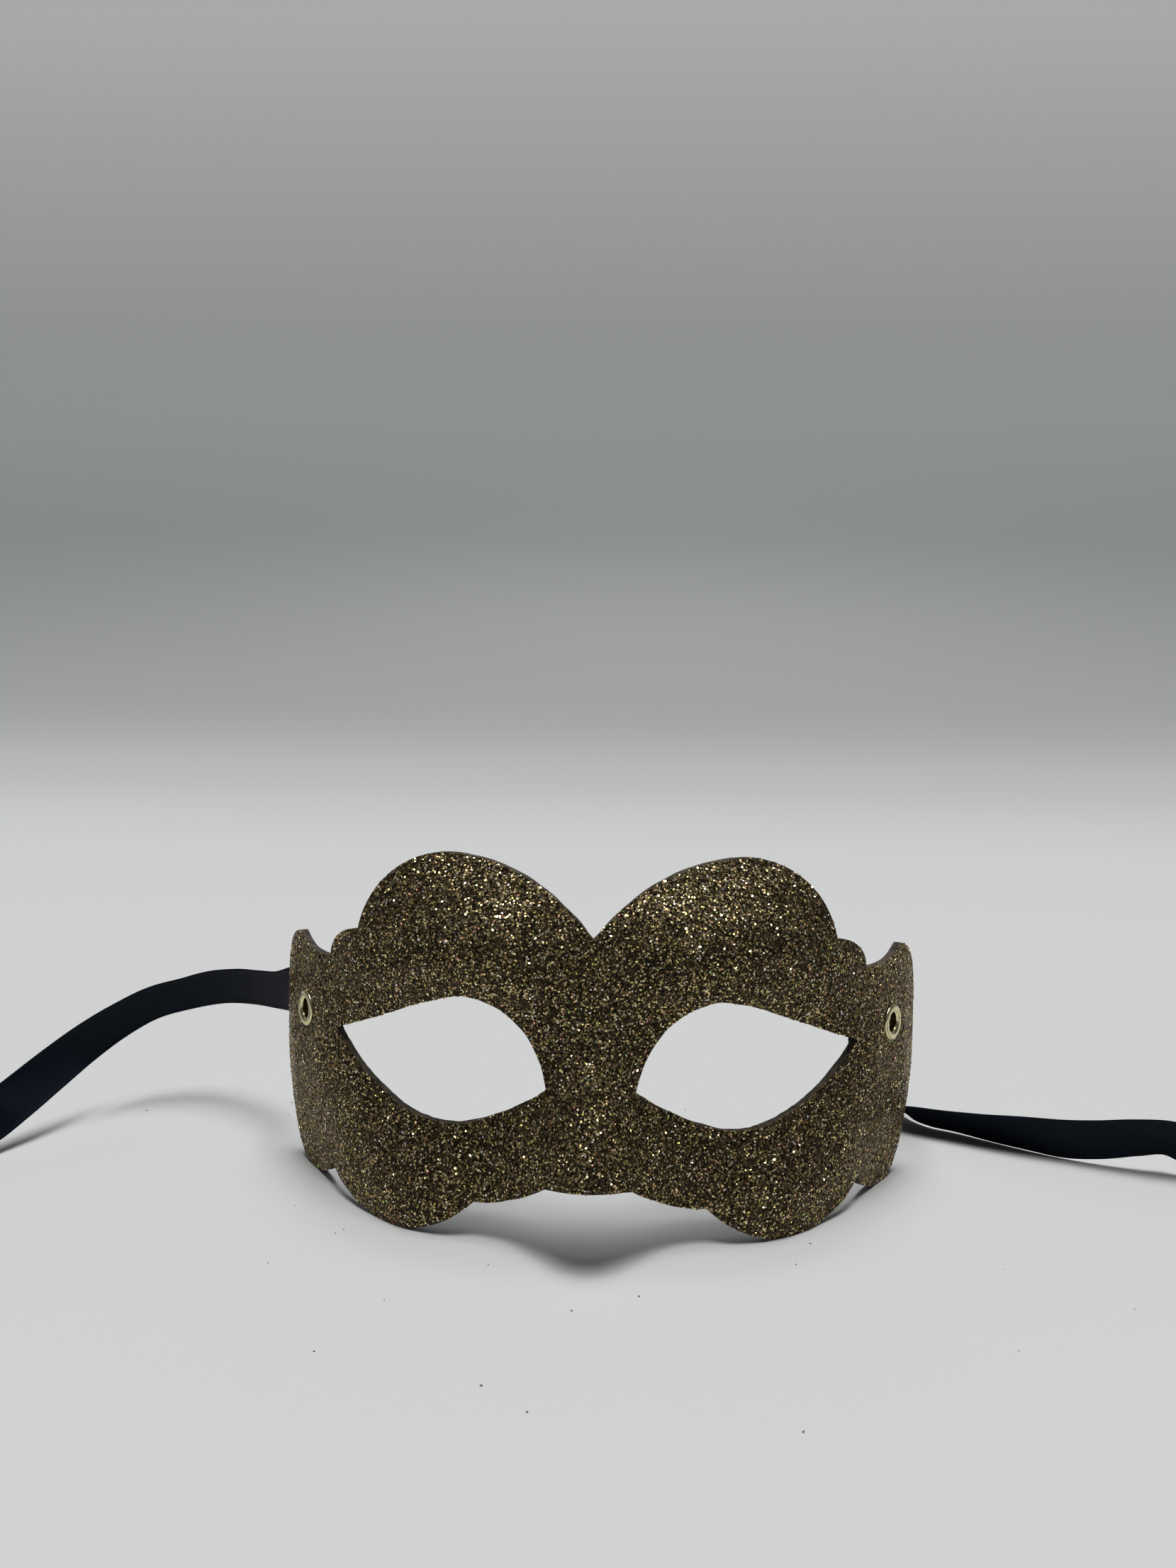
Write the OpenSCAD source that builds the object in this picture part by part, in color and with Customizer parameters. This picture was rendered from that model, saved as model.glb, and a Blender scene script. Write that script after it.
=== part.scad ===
// Venetian half mask: a papier-mache shell with a glitter coat in front and a
// black lining behind, two brass eyelets with their back washers, and two
// satin tie ribbons that the eyelets clench to the inside of the wings.
// Axes: X to the mask's right as seen from the front, front faces -Y, +Z up.
// The origin is on the table, under the middle of the mask.

/* [Mask outline] */
// Overall width across the rear edges of the wings
mask_w = 176; // [170:1:216]
// Overall height from the table to the tops of the lobes
mask_h = 91; // [86:1:112]
// Width of the front panel, between the notches under the wings
front_w = 137; // [133:1:143]
// Distance of each lobe's top from the centre line
lobe_x = 37; // [34:1:40]
// Depth of the V notch below the tops of the lobes
v_drop = 18; // [14:1:22]
// Radius of each lobe's round outer side
lobe_side_r = 23.5; // [22:0.5:25]
// Radius of the small scallop beside each lobe
shoulder_r = 9.2; // [7.5:0.1:10]
// Drop from the tops of the lobes to the top edge of the wings
wing_drop = 29.5; // [27:0.5:32]
// Height of the horn on the top corner of each wing
horn_h = 3.5; // [1:0.5:6]
// Distance of the horn's tip from the wing's rear edge, seen from the front
horn_in = 6.5; // [5:0.5:8]
// Distance of the wing's foot from its rear edge, seen from the front
foot_in = 10; // [8:0.5:12]
// Height of the round rear corner under the wing
corner_h = 38; // [32:1:42]
// Height of the notch between the cheek scallop and the wing
wing_notch_h = 7; // [4:0.5:10]
// Distance of the lowest point of each cheek from the centre line
cheek_x = 50; // [46:1:54]
// Distance of the notch between cheek and nose scallops from the centre line
cheek_notch_x = 28; // [25:1:31]
// Height of that notch
cheek_notch_h = 8.7; // [6:0.1:11]
// Half the width of the arch under the nose
arch_x = 10.5; // [8:0.5:12]
// Height of the arch's two ends
arch_h = 17.2; // [14:0.1:20]
// Rise of the arch at the centre line
arch_rise = 2; // [0:0.5:4]
// Sag of the small scallop beside the nose
scallop_sag = 2.2; // [0.5:0.1:3]

/* [Eye openings] */
// Gap between the inner corners of the two eye openings
eye_gap = 21; // [18:0.5:26]
// Width of each eye opening
eye_w = 57; // [50:0.5:57.5]
// Height of the inner corner above the table
eye_z = 37.5; // [35:0.5:40]
// Rise of the upper lid above the inner corner
lid_rise = 20.5; // [15:0.5:22]
// Fall of the lower lid below the inner corner
lid_fall = 12.3; // [8:0.1:15]
// Rise of the outer corner above the inner corner
eye_slant = 5.8; // [2:0.1:9]

/* [Relief] */
// Depth of the curve that wraps the mask round the head
wrap_depth = 72; // [55:1:80]
// Half-width at which that curve would run straight back, beyond the wing
wrap_margin = 4; // [3:0.5:10]
// Backward lean of the mask, per unit of height
lean = 0.05; // [0:0.01:0.12]
// How far the brow ridge stands out
brow_out = 6; // [2:0.5:9]
// Radius of the backward curl of the lobes
curl_r = 35; // [25:1:60]
// Depth of the sockets round the eyes
socket_in = 4; // [1:0.5:6]
// How far the cheeks stand out
cheek_out = 7; // [3:0.5:9]
// How far the feet of the wings turn backwards
foot_back = 5; // [2:0.5:8]
// How far the nose stands out
nose_out = 20; // [14:1:26]
// Height at which the bridge of the nose starts
bridge_z = 62; // [58:1:68]
// Length of the nose's slope below the bridge
nose_len = 50; // [42:1:58]

/* [Layers] */
// Thickness of the papier-mache shell
shell_t = 1.6; // [1:0.1:3]
// Thickness of the glitter coat
coat_t = 0.3; // [0.2:0.05:0.6]
// Thickness of the black lining
lining_t = 0.3; // [0.2:0.05:0.6]

/* [Eyelets] */
// Diameter of the clear bore through each eyelet
bore_d = 5; // [3:0.1:7]
// Wall of the eyelet's barrel
barrel_t = 0.4; // [0.3:0.05:0.8]
// Diameter of the eyelet's front flange
flange_d = 9.5; // [8.6:0.1:11]
// Thickness of the flanges
flange_t = 0.6; // [0.4:0.05:1]
// Diameter of the back washer
washer_d = 9; // [8.6:0.1:11]
// Thickness of the back washer
washer_t = 0.5; // [0.3:0.05:1]
// Clearance between the barrel and the holes it passes through
hole_clear = 0.1; // [0.05:0.05:0.3]
// Distance of the eyelet from the wing's rear edge, seen from the front
eyelet_in = 9; // [8:0.5:10]
// Distance of the eyelet below the wing's top edge
eyelet_drop = 17; // [14:0.5:20]

/* [Ribbons] */
// Width of the ribbons
ribbon_w = 13; // [9:0.5:14]
// Thickness of the doubled ribbon end and of the ribbon's envelope
ribbon_t = 0.8; // [0.4:0.1:1.2]
// How far the ribbon end reaches past the eyelet, seen from the front
tab_over = 4.5; // [4:0.5:6]
// Distance of the ribbon end's other end from the wing's rear edge
tab_in = 1; // [0.8:0.1:1.6]
// Outer radius of each coil of spare ribbon
coil_r = 40; // [36:1:44]
// Width of the band of turns in each coil
coil_band = 13; // [10:1:16]

/* [Hidden] */
LEFT = -1;
RIGHT = 1;
// Widest step between the columns of points, and rows of points below and above the eye
COLUMN_STEP = 3.4;
FLANK_ROWS = 5;
BROW_ROWS = 6;
// The last column stands this far inside the half width, where the corner is already upright
EDGE_IN = 0.2;
// Step over which slopes are measured
SLOPE_STEP = 0.05;
// Length of the horn's sweep along the wing's top edge, and its drop to the rear edge
HORN_SWEEP = 6;
HORN_DROP = 17;
// Distances from the lobes' tops and from the lids at which the curl and the brow ridge start
CURL_DROP = 23;
BROW_RISE = 8;
// Where the lids reach their highest and lowest points, as shares of the eye's width
LID_TOP_SHARE = 0.36;
LID_LOW_SHARE = 0.45;
// Handles of the eye's curves, from the points that they leave
INNER_RISE = [2, 8.5];
LID_TOP_IN = [-11, 0];
LID_TOP_OUT = [6, 0];
OUTER_RISE = [-22, 9.5];
INNER_FALL = [6.5, -5.3];
LID_LOW_IN = [-9, 0];
LID_LOW_OUT = [14, 0];
OUTER_FALL = [-5.5, -8.3];
// Where the wings' feet start to turn back, and over what width
FOOT_START = 64;
FOOT_RUN = 12;
// The nose's half width at its bridge, and how much wider it is at its lower edge
BRIDGE_SPREAD = 9;
NOSE_WIDENING = 7;
// Width over which the brow, socket and cheek die out before the flat seat of the eyelet
SEAT_FADE = 12;
// Room round the barrel's hole and round the flange on that seat
HOLE_ROOM = 0.6;
SEAT_ROOM = 0.1;
// How far below the ribbon end the wing's foot may start to turn back
FOOT_ROOM = 4;
// Overhang of the rolled back edge, and the crown's two shoulders
ROLL = 0.4;
CROWN_OUT = 0.6;
CROWN_IN = 0.3;
RIBBON_SIDES = 8;

half_w = mask_w / 2;
edge_x = half_w - EDGE_IN;
wing_x = front_w / 2;
wing_top = mask_h - wing_drop;
horn_x = half_w - horn_in;
horn_start = horn_x - HORN_SWEEP;
foot_x = half_w - foot_in;
eye_in = eye_gap / 2;
eye_out = eye_in + eye_w;
eye_out_z = eye_z + eye_slant;
curl_z = mask_h - CURL_DROP;
wrap_a = half_w + wrap_margin;
eyelet_x = half_w - eyelet_in;
eyelet_z = wing_top - eyelet_drop;
foot_top = eyelet_z - ribbon_w / 2 - FOOT_ROOM;
tab_x = half_w - tab_in;
stack_t = shell_t + lining_t;
barrel_r = bore_d / 2 + barrel_t;
seat_hole = barrel_r + hole_clear + HOLE_ROOM;
seat_band = max(max(flange_d, washer_d) / 2, seat_hole) + SEAT_ROOM;

// Mounds of the relief: middle and spread across, then middle and spread up
brow = [30, 34, eye_z + lid_rise + BROW_RISE, 15];
socket = [38, 20, eye_z + 4.5, 16];
cheek = [44, 18, 6, 16];

// Routes of the free ribbons: X, Y, Z of the middle of the ribbon, and the
// lean of its width away from upright, in degrees. The right ribbon turns
// under itself, so its lean goes on from -90 after it has run straight down.
LEFT_ROUTE = [[-84.6, 34.1, 44.5, 1], [-87.7, 41.1, 44.1, -6], [-94.5, 51.5, 40.5, -17],
              [-102.5, 59, 39, -19], [-111, 65, 38, -21], [-121, 69, 36.5, -25],
              [-131, 70, 34, -27], [-141, 67, 31.5, -22], [-149, 61, 27.5, -11],
              [-155.5, 52, 23, 3], [-161, 41.5, 18, 15], [-166, 30.5, 13, 22],
              [-170.5, 20, 9, 19], [-176.5, 8, 7, 8], [-183, -4, 6.5, 0]];
RIGHT_ROUTE = [[84.6, 34.1, 44.5, -1], [87.6, 41.2, 44.2, 2], [87.5, 51, 45.5, 15],
               [86.5, 62, 46, 42], [85.5, 73, 42, 70], [85, 81, 33, 90], [85, 83.5, 22, -90],
               [86, 79, 11.5, -94], [88.5, 71, 5.5, -106], [92.5, 63, 4.4, -120],
               [98, 57.5, 5, -131], [105.5, 53.5, 5.2, -135], [114.5, 48, 5.6, -144],
               [123.5, 43, 6.2, -154], [133, 38.5, 6.6, -163], [141.5, 35, 8, -163],
               [150, 32, 10, -159], [158.5, 29.5, 11, -155], [168.5, 26.5, 8, -168],
               [182, 24.5, 6.7, -180], [196, 24, 6.5, -180]];
// Middles of the coils of spare ribbon that the routes run into
LEFT_COIL = [-218.4, 15.5];
RIGHT_COIL = [196, -16.4];

// ---- small helpers ----
function bump(u) = exp(-u * u);
function ease(u) = let (c = min(1, max(0, u))) c * c * (3 - 2 * c);
function mix(a, b, u) = a + (b - a) * u;
function unit(v) = v / norm(v);
// Radius of the arc that is level at one end and rises by rise over run
function arc_r(run, rise) = (run * run + rise * rise) / (2 * rise);
// Height of a circle's lower side above its lowest point, off from the middle
function sag(r, off) = r - sqrt(max(0, r * r - off * off));
function sorted(v) = len(v) < 2 ? v :
    let (p = v[0])
    concat(sorted([for (a = v) if (a < p) a]), [p], sorted([for (a = v) if (a > p) a]));
// Two triangles, or one where two neighbouring corners are the same point
function quad(a, b, c, d) =
    a == b ? [[a, c, d]] : c == d ? [[a, b, c]] : [[a, b, c], [a, c, d]];
function bezier(p, t) =
    p[0] * pow(1 - t, 3) + 3 * p[1] * t * pow(1 - t, 2) + 3 * p[2] * t * t * (1 - t) + p[3] * pow(t, 3);
// Height of a curve that runs steadily to the right, at the given x
function curve_z(p, x, a = 0, b = 1, n = 22) =
    let (m = (a + b) / 2, q = bezier(p, m))
    n == 0 ? q[1] : q[0] < x ? curve_z(p, x, m, b, n - 1) : curve_z(p, x, a, m, n - 1);

// ---- outline, as heights over the distance x from the centre line ----
lobe_r = arc_r(lobe_x, v_drop);
shoulder_top = wing_top + shoulder_r;
lobe_end = lobe_x + sqrt(pow(lobe_side_r, 2) - pow(shoulder_top - (mask_h - lobe_side_r), 2));
shoulder_end = lobe_end + shoulder_r;

function top_z(x) =
    x < lobe_x ? mask_h - sag(lobe_r, lobe_x - x) :
    x < lobe_end ? mask_h - sag(lobe_side_r, x - lobe_x) :
    x < shoulder_end ? wing_top + sqrt(max(0, pow(shoulder_r, 2) - pow(x - lobe_end, 2))) :
    x < horn_start ? wing_top :
    x < horn_x ? wing_top + horn_h * pow((x - horn_start) / HORN_SWEEP, 2) :
    wing_top + horn_h - HORN_DROP * (1 - sqrt(max(0, 1 - pow((x - horn_x) / horn_in, 2))));

function bottom_z(x) =
    x < arch_x ? arch_h + arch_rise * (1 - pow(x / arch_x, 2)) :
    x < cheek_notch_x ? let (u = (x - arch_x) / (cheek_notch_x - arch_x))
        mix(arch_h, cheek_notch_h, u) - 4 * scallop_sag * u * (1 - u) :
    x < cheek_x ? sag(arc_r(cheek_x - cheek_notch_x, cheek_notch_h), cheek_x - x) :
    x < wing_x ? sag(arc_r(wing_x - cheek_x, wing_notch_h), x - cheek_x) :
    x < foot_x ? sag(arc_r(foot_x - wing_x, wing_notch_h), foot_x - x) :
    corner_h * (1 - sqrt(max(0, 1 - pow((x - foot_x) / foot_in, 2))));

// The eye opening: a round inner half and a nearly straight outer half above,
// and one long sweep below.
inner_corner = [eye_in, eye_z];
outer_corner = [eye_out, eye_out_z];
lid_top = inner_corner + [LID_TOP_SHARE * eye_w, lid_rise];
lid_low = inner_corner + [LID_LOW_SHARE * eye_w, -lid_fall];
upper_in = [inner_corner, inner_corner + INNER_RISE, lid_top + LID_TOP_IN, lid_top];
upper_out = [lid_top, lid_top + LID_TOP_OUT, outer_corner + OUTER_RISE, outer_corner];
lower_in = [inner_corner, inner_corner + INNER_FALL, lid_low + LID_LOW_IN, lid_low];
lower_out = [lid_low, lid_low + LID_LOW_OUT, outer_corner + OUTER_FALL, outer_corner];

function in_eye(x) = x > eye_in + 0.01 && x < eye_out - 0.01;
// The line through both corners of the eye, on which the two bands meet
function seam_z(x) = mix(eye_z, eye_out_z, ease((x - eye_in) / eye_w));
function upper_z(x) =
    !in_eye(x) ? seam_z(x) : x < lid_top[0] ? curve_z(upper_in, x) : curve_z(upper_out, x);
function lower_z(x) =
    !in_eye(x) ? seam_z(x) : x < lid_low[0] ? curve_z(lower_in, x) : curve_z(lower_out, x);

// ---- relief: how far back the front of the shell lies ----
function wrap_curve(x) = wrap_depth * (1 - sqrt(1 - pow(min(x / wrap_a, 0.995), 2)));
// The wrap runs straight across the seat of the eyelet
function wrap(x) =
    let (a = eyelet_x - seat_band, b = eyelet_x + seat_band)
    x > a && x < b ? mix(wrap_curve(a), wrap_curve(b), (x - a) / (b - a)) : wrap_curve(x);
function mound(m, x, z) = bump((x - m[0]) / m[1]) * bump((z - m[2]) / m[3]);
function relief(x, z) =
    let (ax = abs(x),
         slope = ease((bridge_z - z) / nose_len),
         face = ease((eyelet_x - seat_band - ax) / SEAT_FADE))
    wrap(ax) + lean * z
    + (z > curl_z ? pow(z - curl_z, 2) / (2 * curl_r) : 0)
    - face * brow_out * mound(brow, ax, z)
    + face * socket_in * mound(socket, ax, z)
    - face * cheek_out * mound(cheek, ax, z)
    + foot_back * ease(1 - z / foot_top) * ease((ax - FOOT_START) / FOOT_RUN)
    - nose_out * slope * bump(ax / (BRIDGE_SPREAD + NOSE_WIDENING * slope));

// Direction square to the front surface, pointing inwards
function inward(x, z) =
    let (sx = (relief(x + SLOPE_STEP, z) - relief(x - SLOPE_STEP, z)) / (2 * SLOPE_STEP),
         sz = (relief(x, z + SLOPE_STEP) - relief(x, z - SLOPE_STEP)) / (2 * SLOPE_STEP))
    unit([-sx, 1, -sz]);
// The layers are laid level, so that all their edges end at the same height
function inward_level(x, z) = let (n = inward(x, z)) unit([n[0], n[1], 0]);

// The nose's lower edge reaches furthest forward, the wings' rear edges furthest back
front_y = relief(0, arch_h + arch_rise) - coat_t;
back_y = max([for (u = [0:0.1:1]) let (z = mix(bottom_z(edge_x), top_z(edge_x), u))
    relief(edge_x, z) + stack_t * inward_level(edge_x, z)[1]]);
mid_y = (front_y + back_y) / 2;
function place(x, z, in) =
    [x, relief(x, z) - mid_y, z] + in * inward_level(x, z);

// ---- columns of the shell ----
knots = sorted([0, arch_x, eye_in, cheek_notch_x, lobe_x, cheek_x, lobe_end - 2, lobe_end, eye_out,
                wing_x, shoulder_end, horn_start, foot_x, horn_x, tab_x - 1.8, tab_x, edge_x,
                eyelet_x - seat_band, eyelet_x - seat_hole, eyelet_x + seat_hole,
                eyelet_x + seat_band]);
half_columns = concat([0], [for (i = [1:len(knots) - 1])
    let (a = knots[i - 1], b = knots[i], n = ceil((b - a) / COLUMN_STEP))
    for (j = [1:n]) mix(a, b, j / n)]);
columns = concat([for (i = [len(half_columns) - 1:-1:1]) -half_columns[i]], half_columns);

// Heights of one column, from the bottom edge to the top edge
function column_heights(x) =
    let (ax = abs(x))
    concat([for (j = [0:FLANK_ROWS]) mix(bottom_z(ax), lower_z(ax), j / FLANK_ROWS)],
           [for (j = [0:BROW_ROWS]) mix(upper_z(ax), top_z(ax), j / BROW_ROWS)]);

ROWS = FLANK_ROWS + BROW_ROWS + 2;

// A closed skin between two depths below the front of the shell
module skin(from, to) {
    n = len(columns);
    points = [for (in = [from, to]) for (x = columns) for (z = column_heights(x)) place(x, z, in)];
    // A column outside the eye has one point where the two bands meet
    function at(side, i, j) =
        (side * n + i) * ROWS + (j == FLANK_ROWS + 1 && !in_eye(abs(columns[i])) ? FLANK_ROWS : j);
    faces = [for (i = [0:n - 2]) each concat(
        [for (j = [0:ROWS - 2]) if (j != FLANK_ROWS) each concat(
            quad(at(0, i, j), at(0, i, j + 1), at(0, i + 1, j + 1), at(0, i + 1, j)),
            quad(at(1, i, j), at(1, i + 1, j), at(1, i + 1, j + 1), at(1, i, j + 1)))],
        quad(at(0, i, 0), at(0, i + 1, 0), at(1, i + 1, 0), at(1, i, 0)),
        quad(at(0, i + 1, ROWS - 1), at(0, i, ROWS - 1), at(1, i, ROWS - 1), at(1, i + 1, ROWS - 1)),
        in_eye(abs(columns[i])) || in_eye(abs(columns[i + 1])) ? concat(
            quad(at(0, i + 1, FLANK_ROWS), at(0, i, FLANK_ROWS),
                 at(1, i, FLANK_ROWS), at(1, i + 1, FLANK_ROWS)),
            quad(at(0, i, FLANK_ROWS + 1), at(0, i + 1, FLANK_ROWS + 1),
                 at(1, i + 1, FLANK_ROWS + 1), at(1, i, FLANK_ROWS + 1))) : [])];
    ends = [for (j = [0:ROWS - 2]) if (j != FLANK_ROWS) each concat(
        quad(at(0, 0, j), at(1, 0, j), at(1, 0, j + 1), at(0, 0, j + 1)),
        quad(at(0, n - 1, j + 1), at(1, n - 1, j + 1), at(1, n - 1, j), at(0, n - 1, j)))];
    polyhedron(points, concat(faces, ends));
}

// ---- eyelets: everything on their axis, +Z pointing out of the front ----
module on_eyelet(side) {
    out = -inward(side * eyelet_x, eyelet_z);
    translate([side * eyelet_x, relief(eyelet_x, eyelet_z) - mid_y, eyelet_z])
        rotate([0, acos(out[2]), atan2(out[1], out[0])])
            children();
}

module eyelet_hole(side) {
    on_eyelet(side)
        cylinder(r = barrel_r + hole_clear, h = 20, center = true, $fn = 48);
}

module layer(from, to) {
    difference() {
        skin(from, to);
        for (side = [LEFT, RIGHT]) eyelet_hole(side);
    }
}

module papier_shell() {
    color("dimgray") layer(0, shell_t);
}

module glitter_coat() {
    color("darkgoldenrod") layer(-coat_t, 0);
}

module black_lining() {
    color([0.08, 0.08, 0.09]) layer(shell_t, stack_t);
}

// Half profile of the eyelet: domed front flange, barrel and rolled back edge
module eyelet(side) {
    back = -(stack_t + ribbon_t + washer_t);
    front = coat_t + flange_t;
    flange_r = flange_d / 2;
    bore_r = bore_d / 2;
    color("palegoldenrod") on_eyelet(side)
        rotate_extrude($fn = 64)
            polygon([[bore_r, back - ROLL], [barrel_r + ROLL, back - ROLL], [barrel_r + ROLL, back],
                     [barrel_r, back], [barrel_r, coat_t], [flange_r, coat_t],
                     [flange_r, coat_t + flange_t / 3], [barrel_r + CROWN_OUT, front],
                     [bore_r + CROWN_IN, front], [bore_r, coat_t + flange_t / 2]]);
}

module washer(side) {
    color("goldenrod") on_eyelet(side)
        translate([0, 0, -(stack_t + ribbon_t + washer_t)])
            difference() {
                cylinder(d = washer_d, h = washer_t, $fn = 64);
                translate([0, 0, -1]) cylinder(r = barrel_r + hole_clear, h = washer_t + 2, $fn = 48);
            }
}

// ---- ribbons ----
// The end that the eyelet clenches: it lies on the lining, level and upright
module ribbon_tab(side) {
    xs = concat([eyelet_x - tab_over],
                [for (x = half_columns) if (x > eyelet_x - tab_over && x <= tab_x) x]);
    zs = [eyelet_z - ribbon_w / 2, eyelet_z, eyelet_z + ribbon_w / 2];
    n = len(xs);
    m = len(zs);
    points = [for (in = [stack_t, stack_t + ribbon_t]) for (x = xs) for (z = zs) place(x, z, in)];
    function at(s, i, j) = (s * n + i) * m + j;
    faces = [for (i = [0:n - 2]) each concat(
        [for (j = [0:m - 2]) each concat(
            quad(at(0, i, j), at(0, i, j + 1), at(0, i + 1, j + 1), at(0, i + 1, j)),
            quad(at(1, i, j), at(1, i + 1, j), at(1, i + 1, j + 1), at(1, i, j + 1)))],
        quad(at(0, i, 0), at(0, i + 1, 0), at(1, i + 1, 0), at(1, i, 0)),
        quad(at(0, i + 1, m - 1), at(0, i, m - 1), at(1, i, m - 1), at(1, i + 1, m - 1)))];
    ends = [for (j = [0:m - 2]) each concat(
        quad(at(0, 0, j), at(1, 0, j), at(1, 0, j + 1), at(0, 0, j + 1)),
        quad(at(0, n - 1, j + 1), at(1, n - 1, j + 1), at(1, n - 1, j), at(0, n - 1, j)))];
    color([0.03, 0.03, 0.05])
        difference() {
            mirror([side == LEFT ? 1 : 0, 0, 0]) polyhedron(points, concat(faces, ends));
            eyelet_hole(side);
        }
}

// A flat tube along a route; both of its faces are split along the same
// diagonals, so that a twist doesn't thin it
module ribbon_run(route) {
    n = len(route);
    sides = RIBBON_SIDES;
    grow = 1 / cos(180 / sides);
    spots = [for (r = route) [r[0], r[1], r[2]]];
    rings = [for (i = [0:n - 1])
        let (along = unit(spots[min(i + 1, n - 1)] - spots[max(i - 1, 0)]),
             upright = unit([0, 0, 1] - along * along[2]),
             across = cross(along, upright),
             wide = upright * cos(route[i][3]) + across * sin(route[i][3]),
             thick = cross(along, wide))
        [for (k = [0:sides - 1]) let (a = 360 * (k + 0.5) / sides)
            spots[i] + grow * (wide * ribbon_w / 2 * cos(a) + thick * ribbon_t / 2 * sin(a))]];
    points = [for (r = rings) each r];
    walls = [for (i = [0:n - 2]) for (k = [0:sides - 1])
        let (a = i * sides + k, b = i * sides + (k + 1) % sides, c = a + sides, d = b + sides)
        each k < sides / 2 ? quad(a, b, d, c) : quad(b, d, c, a)];
    caps = concat([for (k = [1:sides - 2]) [0, k + 1, k]],
                  [for (k = [1:sides - 2]) let (o = (n - 1) * sides) [o, o + k, o + k + 1]]);
    color([0.03, 0.03, 0.05]) polyhedron(points, concat(walls, caps));
}

module ribbon_coil(centre) {
    color([0.03, 0.03, 0.05])
        translate([centre[0], centre[1], 0])
            rotate_extrude($fn = 96)
                translate([coil_r - coil_band, 0]) square([coil_band, ribbon_w]);
}

papier_shell();
glitter_coat();
black_lining();
eyelet(LEFT);  // eyelet_left
eyelet(RIGHT);  // eyelet_right
washer(LEFT);  // washer_left
washer(RIGHT);  // washer_right
ribbon_tab(LEFT);  // ribbon_tab_left
ribbon_tab(RIGHT);  // ribbon_tab_right
ribbon_run(LEFT_ROUTE);  // ribbon_left
ribbon_run(RIGHT_ROUTE);  // ribbon_right
ribbon_coil(LEFT_COIL);  // ribbon_coil_left
ribbon_coil(RIGHT_COIL);  // ribbon_coil_right
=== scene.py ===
# %% [markdown]
# # A Venetian half mask with satin ties
# The mask is a pressed papier-mache shell. Its front is covered with antique gold glitter and
# its inside is painted black. Two brass eyelets clench the doubled ends of two satin ribbons.
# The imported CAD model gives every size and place, and this lesson only adds the looks to it.
# Loading it first means that nothing has to be fitted afterwards.

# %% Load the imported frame
import math

import bmesh
import bpy
import numpy as np
from mathutils import Matrix, Vector


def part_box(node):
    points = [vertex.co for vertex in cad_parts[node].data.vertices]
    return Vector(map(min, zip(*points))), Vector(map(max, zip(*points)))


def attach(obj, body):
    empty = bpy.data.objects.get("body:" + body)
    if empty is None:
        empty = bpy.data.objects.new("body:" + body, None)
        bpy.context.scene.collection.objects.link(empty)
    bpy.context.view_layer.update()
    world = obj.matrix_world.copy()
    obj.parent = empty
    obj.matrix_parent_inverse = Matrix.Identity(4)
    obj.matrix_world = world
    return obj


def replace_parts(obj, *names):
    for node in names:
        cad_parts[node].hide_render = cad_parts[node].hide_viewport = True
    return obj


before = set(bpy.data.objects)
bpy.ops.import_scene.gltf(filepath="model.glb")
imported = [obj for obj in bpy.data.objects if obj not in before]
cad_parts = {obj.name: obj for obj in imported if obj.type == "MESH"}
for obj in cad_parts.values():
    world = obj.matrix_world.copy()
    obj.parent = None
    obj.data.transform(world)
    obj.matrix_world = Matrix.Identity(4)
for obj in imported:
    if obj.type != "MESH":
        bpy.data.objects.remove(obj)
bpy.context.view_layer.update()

# %% [markdown]
# ## The camera
# The camera stands close in front of the mask and looks slightly down at it. So near, the
# wings turn away sharply and the cheeks seem to reach out. A look-at constraint is the usual
# way to aim it, but it couldn't give the slight roll, so the three angles are set as numbers.

# %% Camera
CAMERA_AT = Vector((0.0083, -0.2911, 0.1341))
PITCH, YAW, ROLL = (math.radians(a) for a in (-4.97, -2.11, 0.79))
LENS = 27.03
NEAREST = 0.01


def add_object(name, data):
    """An object round a mesh, a lamp or a camera, linked into the scene."""
    made = bpy.data.objects.new(name, data)
    bpy.context.scene.collection.objects.link(made)
    return made


forward = Vector((math.sin(YAW) * math.cos(PITCH), math.cos(YAW) * math.cos(PITCH), math.sin(PITCH)))
right = Vector((math.cos(YAW), -math.sin(YAW), 0))
up = right.cross(forward)
rolled_right = right * math.cos(ROLL) + up * math.sin(ROLL)
rolled_up = up * math.cos(ROLL) - right * math.sin(ROLL)

camera = add_object("camera", bpy.data.cameras.new("camera"))
turn = Matrix((rolled_right, rolled_up, -forward)).transposed()
camera.matrix_world = Matrix.Translation(CAMERA_AT) @ turn.to_4x4()
camera.data.lens = LENS
camera.data.clip_start = NEAREST
bpy.context.scene.camera = camera
print("camera at", tuple(CAMERA_AT), "lens", LENS)

# %% [markdown]
# ## Small mesh helpers
# Every piece below is worked out as rows of points. Modelling by hand or with many modifiers
# would work too, but points from a rule can be checked and changed by one number. `solid`
# turns points and faces into an object, merges the points where two rows meet, and marks an
# edge sharp where its two faces turn far enough. Broad faces then shade smoothly and the cut
# edges stay crisp.

# %% Mesh helpers
SHARP = math.radians(38)
MERGE = 2e-6


def solid(name, points, faces, merge=MERGE):
    """A piece from points and faces; merge 0 keeps all its points as they are."""
    mesh = bpy.data.meshes.new(name)
    mesh.from_pydata([tuple(p) for p in points], [], [tuple(f) for f in faces])
    piece = add_object(name, mesh)
    work = bmesh.new()
    work.from_mesh(mesh)
    if merge:
        bmesh.ops.remove_doubles(work, verts=work.verts, dist=merge)
    bmesh.ops.recalc_face_normals(work, faces=work.faces)
    for face in work.faces:
        face.smooth = True
    for edge in work.edges:
        edge.smooth = edge.calc_face_angle(0) < SHARP
    work.to_mesh(mesh)
    work.free()
    return piece


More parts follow.
